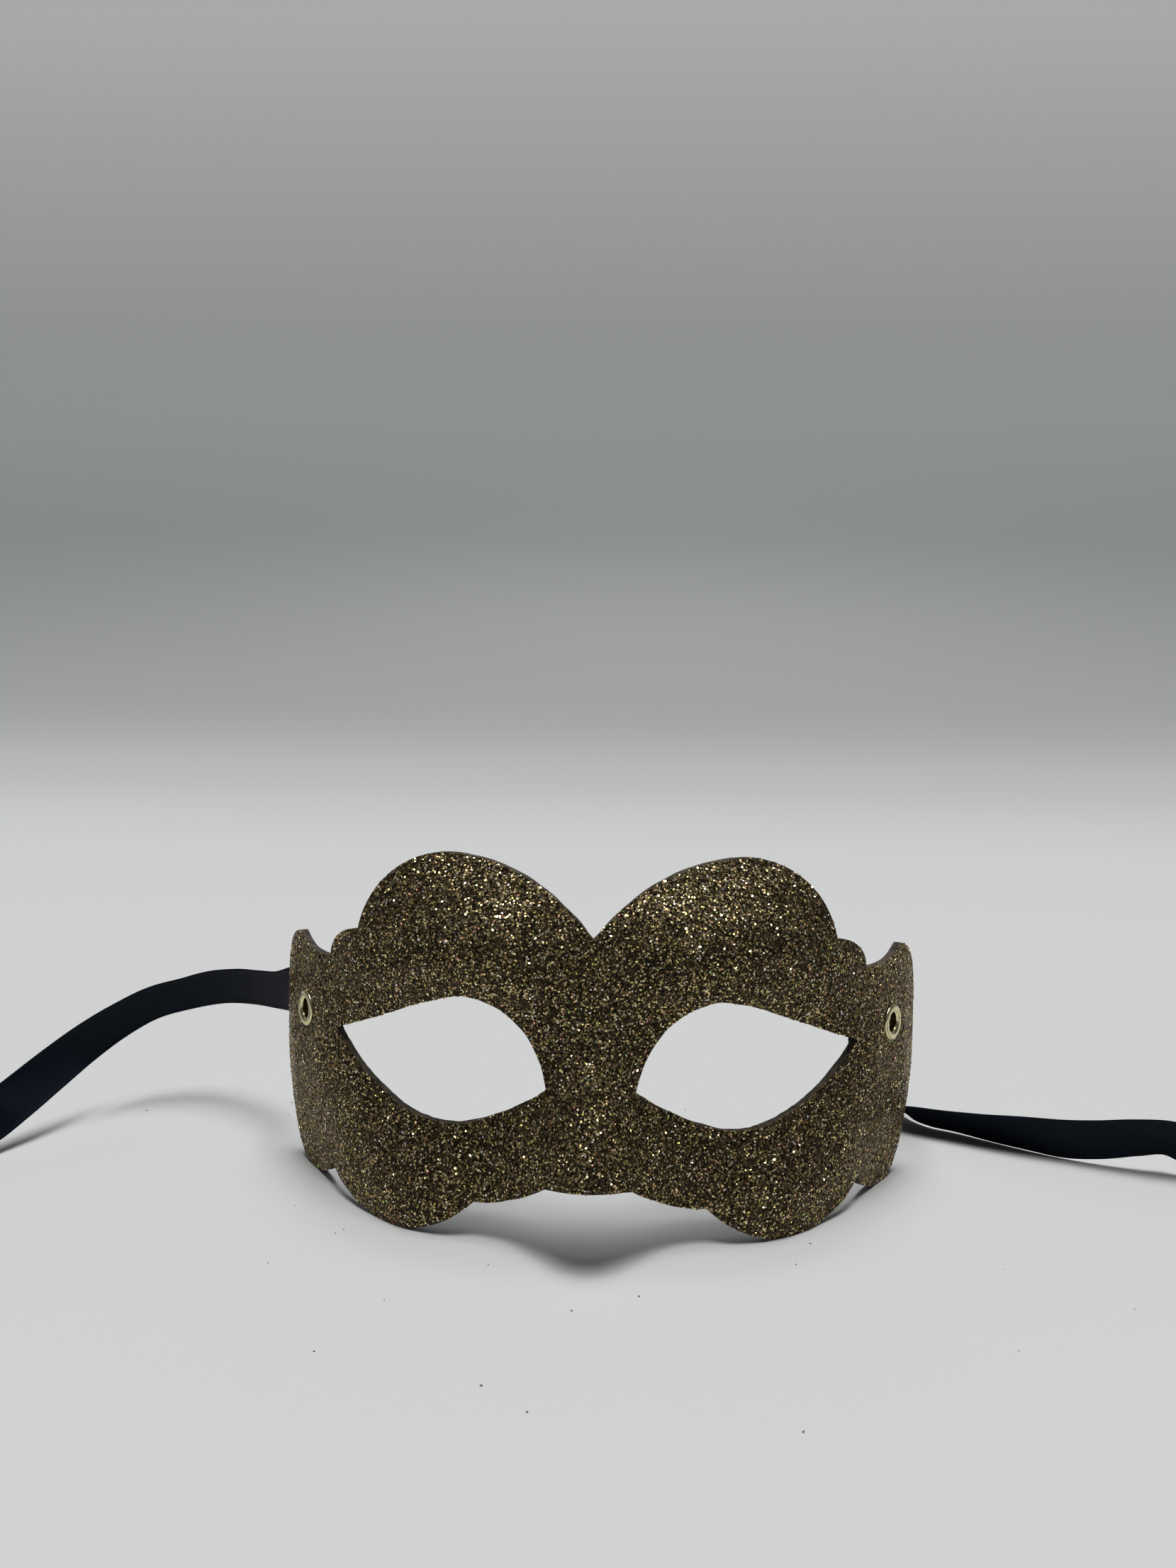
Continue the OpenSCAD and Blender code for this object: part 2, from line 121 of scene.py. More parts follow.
def grid_faces(rows, columns, start=0, closed=False):
    """Quads between neighbouring rows of points; closed joins the last column to the first."""
    across = columns if closed else columns - 1
    return [(start + i * columns + j, start + (i + 1) * columns + j,
             start + (i + 1) * columns + (j + 1) % columns, start + i * columns + (j + 1) % columns)
            for i in range(rows - 1) for j in range(across)]


def bake_modifiers(piece):
    """The shape with its modifiers becomes the piece's own mesh."""
    ready = piece.evaluated_get(bpy.context.evaluated_depsgraph_get())
    mesh = bpy.data.meshes.new_from_object(ready)
    piece.modifiers.clear()
    piece.data = mesh
    mesh.name = piece.name


print("helpers ready: sharp edges above", round(math.degrees(SHARP)), "degrees")

# %% [markdown]
# ## Where the ribbons run
# Half-inch satin ribbon stands on its edge when it lies loose. The left tie arches away from
# the wing and comes down on the table. The right tie drops behind its wing, turns over and
# runs out along the table. A curve object with tilts could carry them, but its twist is hard
# to steer where the ribbon turns over. So each point here gives the middle of the ribbon in
# metres and, in degrees, the lean of its width away from upright.

# %% Ribbon routes
LEFT_ROUTE = [(-0.0846, 0.0341, 0.0445, 1), (-0.0877, 0.0411, 0.0441, -6), (-0.0945, 0.0515, 0.0405, -17),
              (-0.1025, 0.059, 0.039, -19), (-0.111, 0.065, 0.038, -21), (-0.121, 0.069, 0.0365, -25),
              (-0.131, 0.070, 0.034, -27), (-0.141, 0.067, 0.0315, -22), (-0.149, 0.061, 0.0275, -11),
              (-0.1555, 0.052, 0.023, 3), (-0.161, 0.0415, 0.018, 15), (-0.166, 0.0305, 0.013, 22),
              (-0.1705, 0.020, 0.009, 19), (-0.1765, 0.008, 0.007, 8), (-0.183, -0.004, 0.0065, 0)]
RIGHT_ROUTE = [(0.0846, 0.0341, 0.0445, -1), (0.0876, 0.0412, 0.0442, 2), (0.0875, 0.051, 0.0455, 15),
               (0.0865, 0.062, 0.046, 42), (0.0855, 0.073, 0.042, 70), (0.085, 0.081, 0.033, 90),
               (0.085, 0.0835, 0.022, -90), (0.086, 0.079, 0.0115, -94), (0.0885, 0.071, 0.0055, -106),
               (0.0925, 0.063, 0.0044, -120), (0.098, 0.0575, 0.005, -131), (0.1055, 0.0535, 0.0052, -135),
               (0.1145, 0.048, 0.0056, -144), (0.1235, 0.043, 0.0062, -154), (0.133, 0.0385, 0.0066, -163),
               (0.1415, 0.035, 0.008, -163), (0.150, 0.032, 0.010, -159), (0.1585, 0.0295, 0.011, -155),
               (0.1685, 0.0265, 0.008, -168), (0.182, 0.0245, 0.0067, -180), (0.196, 0.024, 0.0065, -180)]
print("route points: left", len(LEFT_ROUTE), "and right", len(RIGHT_ROUTE))

# %% [markdown]
# ## From points to a smooth run
# Cloth bends gently, so a spline joins the points and passes through each of them. The
# direction across the ribbon is carried along as three more columns and smoothed in the same
# way. Smoothing the angles instead would spin the ribbon wherever its run turns upright.

# %% Smooth runs
SPLINE_STEPS = 12


def unit(v):
    """Vectors of length one, along the last axis of an array."""
    return v / np.linalg.norm(v, axis=-1, keepdims=True)


def width_directions(route):
    """Unit vectors across the ribbon at the route's points, from its leans."""
    points = np.array(route)[:, :3]
    along = unit(np.vstack([points[1:], points[-1:]]) - np.vstack([points[:1], points[:-1]]))
    upright = unit(np.array([0, 0, 1]) - along * along[:, 2:])
    lean = np.radians(np.array(route)[:, 3:])
    return upright * np.cos(lean) + np.cross(along, upright) * np.sin(lean)


def between_points(a, b, c, d):
    """A Catmull-Rom curve from b to c, which a and d steer."""
    t = np.linspace(0, 1, SPLINE_STEPS, endpoint=False)[:, None]
    return 0.5 * (2 * b + (c - a) * t + (2 * a - 5 * b + 4 * c - d) * t**2
                  + (3 * b - a - 3 * c + d) * t**3)


def smooth_route(route):
    """A smooth curve through the points, with the ribbon's width direction beside each place."""
    rows = np.hstack([np.array(route)[:, :3], width_directions(route)])
    p = np.vstack([2 * rows[:1] - rows[1:2], rows, 2 * rows[-1:] - rows[-2:-1]])
    parts = [between_points(a, b, c, d) for a, b, c, d in zip(p, p[1:], p[2:], p[3:])]
    return np.vstack([*parts, p[-2:-1]])


left_free, right_free = smooth_route(LEFT_ROUTE), smooth_route(RIGHT_ROUTE)
print("places on the runs: left", len(left_free), "and right", len(right_free))

# %% [markdown]
# ## The spare length
# Each tie is nearly half a metre long, so that it reaches round a head, and most of it lies
# to the side of the mask. Cutting it short would falsify the real ribbon. The rest of the
# length is wound into a loose flat coil instead, and an even pitch between its turns gives
# the number of turns from the length that is left.

# %% Coils
RIBBON_W = 0.013
FREE_LENGTH = 0.480
COIL_PITCH = 0.0077
TURN_STEPS = 72
LEFT_COIL = (-0.2184, 0.0155)
RIGHT_COIL = (0.196, -0.0164)


def coil_after(run, centre):
    """The route again, with turns that wind inwards, clockwise from above, to the full length."""
    used = np.linalg.norm(np.diff(run[:, :3], axis=0), axis=1).sum()
    off = run[-1, :2] - centre
    outer = np.hypot(*off)
    turns = (outer - math.sqrt(outer**2 - COIL_PITCH * (FREE_LENGTH - used) / math.pi)) / COIL_PITCH
    wound = np.linspace(0, turns, round(turns * TURN_STEPS))[1:]
    angle = math.atan2(off[1], off[0]) - wound * 2 * math.pi
    radius = outer - COIL_PITCH * wound
    coil = np.zeros((len(wound), 6))
    coil[:, 0] = centre[0] + radius * np.cos(angle)
    coil[:, 1] = centre[1] + radius * np.sin(angle)
    coil[:, 2] = RIBBON_W / 2
    coil[:, 5] = np.sign(run[-1, 5])
    print(f"free run {used:.3f} m, then {turns:.2f} turns from {outer:.4f} to {radius[-1]:.4f} m")
    return np.vstack([run, coil])


left_run, right_run = coil_after(left_free, LEFT_COIL), coil_after(right_free, RIGHT_COIL)

# %% [markdown]
# ## The ribbon's section
# Woven satin is one thin band with a slightly thicker, rounder selvedge along each side. A
# curve with a bevel would give a round cord, so the band gets its own section: a ring of
# points across the width, close together where the selvedge bulges.

# %% Ribbon section
RIBBON_T = 0.00026
SELVEDGE_T = 0.00042
SELVEDGE_W = 0.0007
SIDE_ROUND = 0.0001
SIDE_T = 0.00002
ACROSS = [-1, -0.985, -0.95, -0.9, -0.86, -0.7, -0.45, -0.2, 0, 0.2, 0.45, 0.7, 0.86, 0.9, 0.95, 0.985, 1]
RING = [(u, 1) for u in ACROSS] + [(u, -1) for u in reversed(ACROSS)]


def half_thickness(u):
    """Half the ribbon's thickness at u, from -1 to 1 across it: thicker and rounded at the sides."""
    from_side = (1 - abs(u)) * RIBBON_W / 2
    bead = SELVEDGE_T / 2 * math.sqrt(max(0, 1 - (1 - min(1, from_side / SELVEDGE_W * 2)) ** 2))
    field = RIBBON_T / 2 * min(1, from_side / SIDE_ROUND)
    return max(SIDE_T, field if from_side > SELVEDGE_W else max(bead, field))


def band_faces(stations):
    """Faces of a closed strip whose stations each hold one ring of points."""
    count, half = len(RING), len(ACROSS)
    faces = grid_faces(stations, count, closed=True)
    for end in (0, (stations - 1) * count):
        faces += [(end + k, end + k + 1, end + count - 2 - k, end + count - 1 - k) for k in range(half - 1)]
    return faces


print("points round the ribbon:", len(RING))

# %% [markdown]
# ## Sweeping the strip
# The section is carried along the run place by place, because the width direction at every place is known.
# Real satin cups a little across its width, and its end is cut aslant so that it frays less. A UV map in
# metres follows the strip, and the weave is drawn on that map later.

# %% Places along a strip
def frames_along(line):
    """Unit vectors along a line, across the ribbon's width and across its thickness."""
    along = unit(np.gradient(line[:, :3], axis=0))
    wide = unit(line[:, 3:] - along * np.sum(along * line[:, 3:], axis=1, keepdims=True))
    return along, wide, np.cross(along, wide)


def resample(line, step):
    """The line at even steps, with the distance along it."""
    far = np.concatenate([[0], np.cumsum(np.linalg.norm(np.diff(line[:, :3], axis=0), axis=1))])
    at = np.linspace(0, far[-1], round(far[-1] / step) + 1)
    return at, np.column_stack([np.interp(at, far, line[:, k]) for k in range(line.shape[1])])


def weave_map(strip, far):
    """A UV map in metres: across the ribbon in U, and along it in V."""
    layer = strip.data.uv_layers.new(name="weave")
    u_of = np.tile([(u + 1) / 2 * RIBBON_W for u, _ in RING], len(far))
    v_of = np.repeat(far, len(RING))
    corner = np.empty(len(strip.data.loops), int)
    strip.data.loops.foreach_get("vertex_index", corner)
    layer.data.foreach_set("uv", np.column_stack([u_of[corner], v_of[corner]]).ravel().astype(np.float32))


print("a strip of", FREE_LENGTH, "m can be measured and mapped")

# %% Ribbon strips
CUP = 0.0004
CUP_RUN = 0.01
STATION = 0.0011
SLANT = 0.006
SLANT_RUN = 0.03


def ribbon_strip(name, line):
    """A thin closed strip along the line, cupped, and cut aslant at its end."""
    far, line = resample(line, STATION)
    along, wide, thick = frames_along(line)
    cut = SLANT * np.clip((far - far[-1] + SLANT_RUN) / SLANT_RUN, 0, 1)
    cupped = CUP * np.clip(far / CUP_RUN, 0, 1)
    points = []
    for u, face in RING:
        off = face * half_thickness(u) + cupped * (0.5 - u * u)
        back = cut * (u + 1) / 2
        points.append(line[:, :3] - along * back[:, None] + wide * (u * RIBBON_W / 2) + thick * off[:, None])
    points = np.stack(points, axis=1).reshape(-1, 3)
    strip = solid(name, points, band_faces(len(far)), merge=0)
    weave_map(strip, far)
    print(f"{name}: {far[-1]:.4f} m of ribbon, {len(strip.data.polygons)} faces")
    return strip, line[:, :3]


def tie(side, run):
    """One ribbon: its free run and its coil, parented to the root body in place of the CAD ribbon and coil.
    """
    strip, path = ribbon_strip(f"tie_{side}", run)
    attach(strip, "root")
    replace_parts(strip, f"ribbon_{side}", f"ribbon_coil_{side}")
    return strip


ties = [tie("left", left_run), tie("right", right_run)]

# %% [markdown]
# ## The mask's outline
# Seen from the front, the outline is two lobes with a V between them, a small scallop beside
# each, wings with a horn, and scalloped cheeks and nose. It could be a curve that is filled,
# but the relief needs points inside it too. So each edge is written as a height over the
# distance from the centre line, and both halves and all layers share it.

# %% Sizes of the outline
MASK_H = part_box("papier_shell")[1].z
HALF_W = 0.088
LOBE_X, V_DROP, LOBE_SIDE_R = 0.037, 0.018, 0.0235
SHOULDER_R, WING_DROP = 0.0092, 0.0295
HORN_H, HORN_IN, HORN_SWEEP, HORN_DROP = 0.0035, 0.0065, 0.006, 0.017
FOOT_IN, CORNER_H = 0.010, 0.038
WING_X, WING_NOTCH_H = 0.0685, 0.007
CHEEK_X, CHEEK_NOTCH_X, CHEEK_NOTCH_H = 0.050, 0.028, 0.0087
ARCH_X, ARCH_H, ARCH_RISE, SCALLOP_SAG = 0.0105, 0.0172, 0.002, 0.0022

WING_TOP = MASK_H - WING_DROP
HORN_X, FOOT_X = HALF_W - HORN_IN, HALF_W - FOOT_IN

print("the mask is", round(MASK_H, 4), "high, and its wings' tops lie at", round(WING_TOP, 4))


# %% Upper edge
def arc_r(run, rise):
    """Radius of the arc that is level at one end and rises by rise over run."""
    return (run * run + rise * rise) / (2 * rise)


def sag(radius, off):
    """How far an arc has fallen at a distance off its highest point."""
    return radius - np.sqrt(np.maximum(0, radius * radius - off * off))


LOBE_R = arc_r(LOBE_X, V_DROP)
LOBE_END = LOBE_X + math.sqrt(LOBE_SIDE_R**2 - (WING_TOP + SHOULDER_R - MASK_H + LOBE_SIDE_R) ** 2)
SHOULDER_END = LOBE_END + SHOULDER_R


def top_z(x):
    """Height of the upper edge: lobe, small scallop, wing, horn, and the wing's rear corner."""
    horn = WING_TOP + HORN_H * ((x - HORN_X + HORN_SWEEP) / HORN_SWEEP) ** 2
    rear = WING_TOP + HORN_H - HORN_DROP * sag(1, np.minimum(1, (x - HORN_X) / HORN_IN))
    shoulder = WING_TOP + np.sqrt(np.maximum(0, SHOULDER_R**2 - (x - LOBE_END) ** 2))
    return np.select([x < LOBE_X, x < LOBE_END, x < SHOULDER_END, x < HORN_X - HORN_SWEEP, x < HORN_X],
                     [MASK_H - sag(LOBE_R, LOBE_X - x), MASK_H - sag(LOBE_SIDE_R, x - LOBE_X), shoulder,
                      WING_TOP, horn], rear)


print("lobes end at", round(LOBE_END, 4), "and the small scallops at", round(SHOULDER_END, 4))


# %% Lower edge
def bottom_z(x):
    """Height of the lower edge: arch, nose scallop, cheek, wing, and the wing's rear corner."""
    arch = ARCH_H + ARCH_RISE * (1 - (x / ARCH_X) ** 2)
    u = (x - ARCH_X) / (CHEEK_NOTCH_X - ARCH_X)
    scallop = ARCH_H + (CHEEK_NOTCH_H - ARCH_H) * u - 4 * SCALLOP_SAG * u * (1 - u)
    cheek_in = sag(arc_r(CHEEK_X - CHEEK_NOTCH_X, CHEEK_NOTCH_H), CHEEK_X - x)
    cheek_out = sag(arc_r(WING_X - CHEEK_X, WING_NOTCH_H), x - CHEEK_X)
    wing = sag(arc_r(FOOT_X - WING_X, WING_NOTCH_H), FOOT_X - x)
    corner = CORNER_H * sag(1, np.minimum(1, (x - FOOT_X) / FOOT_IN))
    return np.select([x < ARCH_X, x < CHEEK_NOTCH_X, x < CHEEK_X, x < WING_X, x < FOOT_X],
                     [arch, scallop, cheek_in, cheek_out, wing], corner)


print("the arch under the nose is", round(float(bottom_z(np.array([0.0]))[0]), 4), "high")

# %% [markdown]
# ## The eye openings
# Each opening has a round inner half, a long and nearly straight outer half above, and one
# sweep below. Cutting it with a boolean would leave long thin faces round it. So four Bezier
# curves give its lids, and the rows of points simply stop at them.

# %% Eye openings
EYE_IN, EYE_W, EYE_Z = 0.0105, 0.057, 0.0375
LID_RISE, LID_FALL, EYE_SLANT = 0.0205, 0.0123, 0.0058
LID_TOP_SHARE, LID_LOW_SHARE = 0.36, 0.45
LID_STEPS = 160
EYE_OUT = EYE_IN + EYE_W

inner_corner = np.array([EYE_IN, EYE_Z])
outer_corner = inner_corner + (EYE_W, EYE_SLANT)
lid_top = inner_corner + (LID_TOP_SHARE * EYE_W, LID_RISE)
lid_low = inner_corner + (LID_LOW_SHARE * EYE_W, -LID_FALL)


def bezier(a, a_out, b_in, b):
    """A Bezier curve from a to b, with its two handles given from its ends."""
    t = np.linspace(0, 1, LID_STEPS)[:, None]
    p, q = a + np.array(a_out), b + np.array(b_in)
    return a * (1 - t) ** 3 + 3 * p * t * (1 - t) ** 2 + 3 * q * t**2 * (1 - t) + b * t**3


upper_lid = np.vstack([bezier(inner_corner, (0.002, 0.0085), (-0.011, 0), lid_top),
                       bezier(lid_top, (0.006, 0), (-0.022, 0.0095), outer_corner)])
lower_lid = np.vstack([bezier(inner_corner, (0.0065, -0.0053), (-0.009, 0), lid_low),
                       bezier(lid_low, (0.014, 0), (-0.0055, -0.0083), outer_corner)])


def ease(u):
    """A soft step from 0 to 1."""
    c = np.clip(u, 0, 1)
    return c * c * (3 - 2 * c)


def lid_z(lid, x):
    """Height of a lid over x, and the line through both corners outside the opening."""
    seam = EYE_Z + EYE_SLANT * ease((x - EYE_IN) / EYE_W)
    return np.where((x > EYE_IN) & (x < EYE_OUT), np.interp(x, lid[:, 0], lid[:, 1]), seam)


print("eye openings from", EYE_IN, "to", EYE_OUT)

# %% [markdown]
# ## The relief
# The shell wraps round the head like part of an oval tube. Smooth mounds give the brow, the
# sockets and the cheeks, a ridge gives the nose, and the lobes curl back. Sculpting would
# give such a face too, but one depth for every place keeps coat, paper and lining parallel.
# Pressed paper is never quite even, so long shallow waves are added everywhere but on the
# eyelets' flat seats.

# %% Sizes of the relief
WRAP_DEPTH, WRAP_HALF, WRAP_LIMIT = 0.072, HALF_W + 0.004, 0.995
LEAN, CURL_R, CURL_Z = 0.05, 0.035, MASK_H - 0.023
BROW_OUT, SOCKET_IN, CHEEK_OUT, FOOT_BACK = 0.006, 0.004, 0.007, 0.005
NOSE_OUT, BRIDGE_Z, NOSE_LEN, BRIDGE_SPREAD, NOSE_WIDENING = 0.020, 0.062, 0.050, 0.009, 0.007
BROW = (0.030, 0.034, EYE_Z + LID_RISE + 0.008, 0.015)
SOCKET = (0.038, 0.020, EYE_Z + 0.0045, 0.016)
CHEEK = (0.044, 0.018, 0.006, 0.016)
FOOT_START, FOOT_RUN, FOOT_TOP = 0.064, 0.012, 0.034
EYELET_X, EYELET_Z = HALF_W - 0.009, WING_TOP - 0.017
SEAT_BAND, SEAT_FADE = 0.00485, 0.012
LUMP = 0.00016
COAT_T, SHELL_T, LINING_T = 0.0003, 0.0016, 0.0003
WAVES = [(310, 170, 0.4), (-240, 390, 1.9), (520, 260, 3.1), (-610, 480, 5.0), (180, -720, 2.2)]
print("eyelets at", round(EYELET_X, 4), "from the centre line and", round(EYELET_Z, 4), "up")


# %% Relief
def bump(u):
    """A round bump, 1 at its top."""
    return np.exp(-u * u)


def mound(m, x, z):
    """A mound given by its middle and half width across, and the same upwards."""
    return bump((x - m[0]) / m[1]) * bump((z - m[2]) / m[3])


def oval(v):
    """How far the tube has turned back at a distance from the centre line."""
    return WRAP_DEPTH * (1 - np.sqrt(1 - np.minimum(v / WRAP_HALF, WRAP_LIMIT) ** 2))


def wrap(x):
    """The oval tube, with a straight stretch where the eyelet sits."""
    a, b = EYELET_X - SEAT_BAND, EYELET_X + SEAT_BAND
    straight = oval(a) + (oval(b) - oval(a)) * (x - a) / (b - a)
    return np.where((x > a) & (x < b), straight, oval(x))


def lumps(x, z):
    """Long shallow waves of hand-pressed paper, from a few crossing sines."""
    return LUMP * sum(np.sin(a * x + b * z + c) for a, b, c in WAVES) / 2


def relief(x, z):
    """How far back the front of the paper lies at x, z."""
    ax = np.abs(x)
    slope = ease((BRIDGE_Z - z) / NOSE_LEN)
    face = ease((EYELET_X - SEAT_BAND - ax) / SEAT_FADE)
    return (wrap(ax) + LEAN * z + np.maximum(0, z - CURL_Z) ** 2 / (2 * CURL_R)
            - face * BROW_OUT * mound(BROW, ax, z) + face * SOCKET_IN * mound(SOCKET, ax, z)
            - face * CHEEK_OUT * mound(CHEEK, ax, z)
            + FOOT_BACK * ease(1 - z / FOOT_TOP) * ease((ax - FOOT_START) / FOOT_RUN)
            - NOSE_OUT * slope * bump(ax / (BRIDGE_SPREAD + NOSE_WIDENING * slope))
            + face * lumps(x, z))


nose_z = ARCH_H + ARCH_RISE
nose_y = float(relief(0.0, nose_z) - lumps(0.0, nose_z))
# The coat's foremost point is the lower edge of the nose, and the CAD box says where it is.
mid_y = nose_y - COAT_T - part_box("glitter_coat")[0].y
print("front surface sits", round(mid_y, 5), "behind the drawing's own zero")

# %% [markdown]
# ## Depth below the front
# Each layer follows the one before at an even distance, as paint and paper do. Blender's
# Solidify modifier would do the same, but the layers and the eyelets must agree to a few
# hundredths of a millimetre. So the direction inwards is worked out from the relief itself.

# %% Places below the front
SLOPE = 0.00005


def inward(x, z, level=True):
    """Unit direction square to the front surface, pointing in; level layers end at one height."""
    sx = (relief(x + SLOPE, z) - relief(x - SLOPE, z)) / (2 * SLOPE)
    sz = (relief(x, z + SLOPE) - relief(x, z - SLOPE)) / (2 * SLOPE) * (0 if level else 1)
    return unit(np.stack([-sx, np.ones_like(sx), -sz], axis=-1))


def place(x, z, depth):
    """The point at x, z on the front of the shell, moved in by depth."""
    x, z = np.broadcast_arrays(np.asarray(x, float), np.asarray(z, float))
    front = np.stack([x, relief(x, z) - mid_y, z], axis=-1)
    return front + inward(x, z) * np.asarray(depth)[..., None]


print("the wings' ends reach back to", round(float(place(HALF_W, EYELET_Z, 0.0)[1]), 4))

# %% [markdown]
# ## Columns of points
# A plain grid would cut the round corners into steps, and a very fine one would be heavy. So
# the columns follow the angles of the arcs wherever an edge turns upright, and lie close
# together at the eyes' corners. Between them an even step of a millimetre is enough.

# %% Columns
COLUMN_STEP = 0.001
FLANK_ROWS, BROW_ROWS = 34, 40
CLOSEST, EDGE_GAP = 0.00004, 0.00001
CORNER_STEPS = np.array([0.00006, 0.00015, 0.0003, 0.0005, 0.0008, 0.0012, 0.0018])


def arc_columns(start, radius, full, count):
    """Columns at even angles of an arc that turns upright at its end."""
    return start + radius * np.sin(np.linspace(0, full, count))


def half_columns():
    """Columns from the centre line to the wing's end, with one at every corner."""
    last = HALF_W - EDGE_GAP
    parts = [np.arange(0, last, COLUMN_STEP), EYE_IN + CORNER_STEPS, EYE_OUT - CORNER_STEPS,
             arc_columns(LOBE_X, LOBE_SIDE_R, math.asin((LOBE_END - LOBE_X) / LOBE_SIDE_R), 30),
             arc_columns(LOBE_END, SHOULDER_R, math.pi / 2, 18),
             arc_columns(FOOT_X, FOOT_IN, math.pi / 2, 30), arc_columns(HORN_X, HORN_IN, math.pi / 2, 20)]
    knots = np.array([0, ARCH_X, EYE_OUT, CHEEK_NOTCH_X, LOBE_X, CHEEK_X, LOBE_END, WING_X, SHOULDER_END,
                      HORN_X - HORN_SWEEP, last])
    every = np.unique(np.concatenate([p[p < last] for p in parts]))
    free = every[np.abs(every[:, None] - knots).min(axis=1) > CLOSEST]
    free = free[np.concatenate([[True], np.diff(free) > CLOSEST])]
    return np.sort(np.concatenate([free, knots]))


half = half_columns()
columns = np.concatenate([-half[:0:-1], half])
print(len(columns), "columns, and", FLANK_ROWS + BROW_ROWS, "rows of faces")

# %% [markdown]
# ## Ragged edges
# The mask's edges are cut by hand, so they wander by about a tenth of a millimetre. A noise
# texture could displace them, but it would move the flat faces too. So only the heights where
# the columns end are jittered. The jitter fades out near the table, where the cheeks rest.

# %% Ragged edges
RESTING = 0.004
rng = np.random.default_rng(11)


def jitter(count, size):
    """A wandering line: random steps smoothed over three neighbours."""
    raw = rng.normal(0, size, count + 2)
    return (raw[:-2] + 2 * raw[1:-1] + raw[2:]) / 4


def bands(ragged):
    """Heights of every column in the lower and in the upper band, and which cross an opening."""
    ax = np.abs(columns)
    inside = (ax > EYE_IN + CLOSEST) & (ax < EYE_OUT - CLOSEST)
    low = bottom_z(ax) + np.abs(jitter(len(ax), ragged)) * ease(bottom_z(ax) / RESTING)
    high = top_z(ax) - np.abs(jitter(len(ax), ragged))
    lower = lid_z(lower_lid, ax) + jitter(len(ax), ragged) * inside
    upper = lid_z(upper_lid, ax) + jitter(len(ax), ragged) * inside
    flank = np.linspace(low, lower, FLANK_ROWS + 1, axis=1)
    brow = np.linspace(upper, high, BROW_ROWS + 1, axis=1)
    return [flank, brow], inside


print("ragged lower edges fade out below", RESTING, "m")

# %% [markdown]
# ## One skin of the mask
# Coat, paper and lining are three closed skins between two depths, with the same outline.
# Each skin is two bands, below and above the eyes, which meet beside the openings. One filled
# outline with two holes would need its faces split at random, while bands keep neat rows.

# %% Skin builder
def skin(name, front, back, ragged):
    """A closed layer between two depths below the front."""
    heights, inside = bands(ragged)
    points, faces = [], []
    open_cell = inside[:-1] | inside[1:]
    for number, z in enumerate(heights):
        count = z.shape[1]
        base = sum(len(p) for p in points)
        size = z.size
        for depth in (front, back):
            points.append(place(columns[:, None], z, np.full(z.shape, depth)).reshape(-1, 3))
        faces += grid_faces(len(columns), count, base)
        faces += grid_faces(len(columns), count, base + size)
        outer, eye = (0, count - 1) if number == 0 else (count - 1, 0)
        for edge, wanted in ((outer, np.ones(len(open_cell), bool)), (eye, open_cell)):
            for i in np.flatnonzero(wanted):
                a, b = base + i * count + edge, base + (i + 1) * count + edge
                faces.append((a, b, b + size, a + size))
        for i in (0, len(columns) - 1):
            a = base + i * count
            faces += [(a + j, a + j + 1, a + j + 1 + size, a + j + size) for j in range(count - 1)]
    return solid(name, np.vstack(points), faces)


print("skins may lie from", -COAT_T, "to", SHELL_T + LINING_T, "below the front")

# %% Coat, paper and lining
COAT_RAGGED, PAPER_RAGGED, LINING_RAGGED = 0.00012, 0.00005, 0.00008

coat = skin("glitter_front", -COAT_T, 0.0, COAT_RAGGED)
paper = skin("paper_shell", 0.0, SHELL_T, PAPER_RAGGED)
lining = skin("black_inside", SHELL_T, SHELL_T + LINING_T, LINING_RAGGED)
for piece in (coat, paper, lining):
    print(piece.name, len(piece.data.polygons), "faces")

# %% [markdown]
# ## Holes for the eyelets
# The same punch goes through all three layers. A cylinder on the eyelet's own axis and a
# boolean cut give a true round hole, which a grid of columns and rows couldn't. The holes
# sit on a nearly flat seat, so the cut leaves no slivers.

# %% Eyelet axes and holes
HOLE_R = 0.003
HOLE_STEPS = 64
PUNCH_REACH = 0.01
SIDES = {"left": -1, "right": 1}


def eyelet_matrix(side):
    """Places things on an eyelet's axis: +Z points out of the front, 0 is the shell's surface."""
    x = np.array(SIDES[side] * EYELET_X)
    out = -inward(x, np.array(EYELET_Z), level=False)
    at = Vector((float(x), float(relief(x, EYELET_Z)) - mid_y, EYELET_Z))
    return Matrix.Translation(at) @ Vector(out).to_track_quat("Z", "Y").to_matrix().to_4x4()


def punch(piece, sides=("left", "right")):
    """Cuts the eyelets' round holes through a piece."""
    angles = np.linspace(0, 2 * math.pi, HOLE_STEPS, False)
    ring = [(HOLE_R * math.cos(a), HOLE_R * math.sin(a)) for a in angles]
    points = [(x, y, z) for z in (-PUNCH_REACH, PUNCH_REACH) for x, y in ring]
    ends = [tuple(range(HOLE_STEPS)), tuple(range(HOLE_STEPS, 2 * HOLE_STEPS))]
    faces = grid_faces(2, HOLE_STEPS, closed=True) + ends
    tools = []
    for side in sides:
        tool = solid(f"punch_{side}", [eyelet_matrix(side) @ Vector(p) for p in points], faces)
        cut = piece.modifiers.new("punch", "BOOLEAN")
        cut.operation, cut.solver, cut.object = "DIFFERENCE", "MANIFOLD", tool
        tools.append(tool)
    bpy.context.view_layer.update()
    bake_modifiers(piece)
    for tool in tools:
        bpy.data.objects.remove(tool)


for piece, node, slot in ((coat, "glitter_coat", "gold_glitter"), (paper, "papier_shell", "papier_mache"),
                          (lining, "black_lining", "black_lining")):
    punch(piece)
    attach(piece, "root")
    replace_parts(piece, node)
    print(piece.name, "has its holes:", len(piece.data.polygons), "faces")

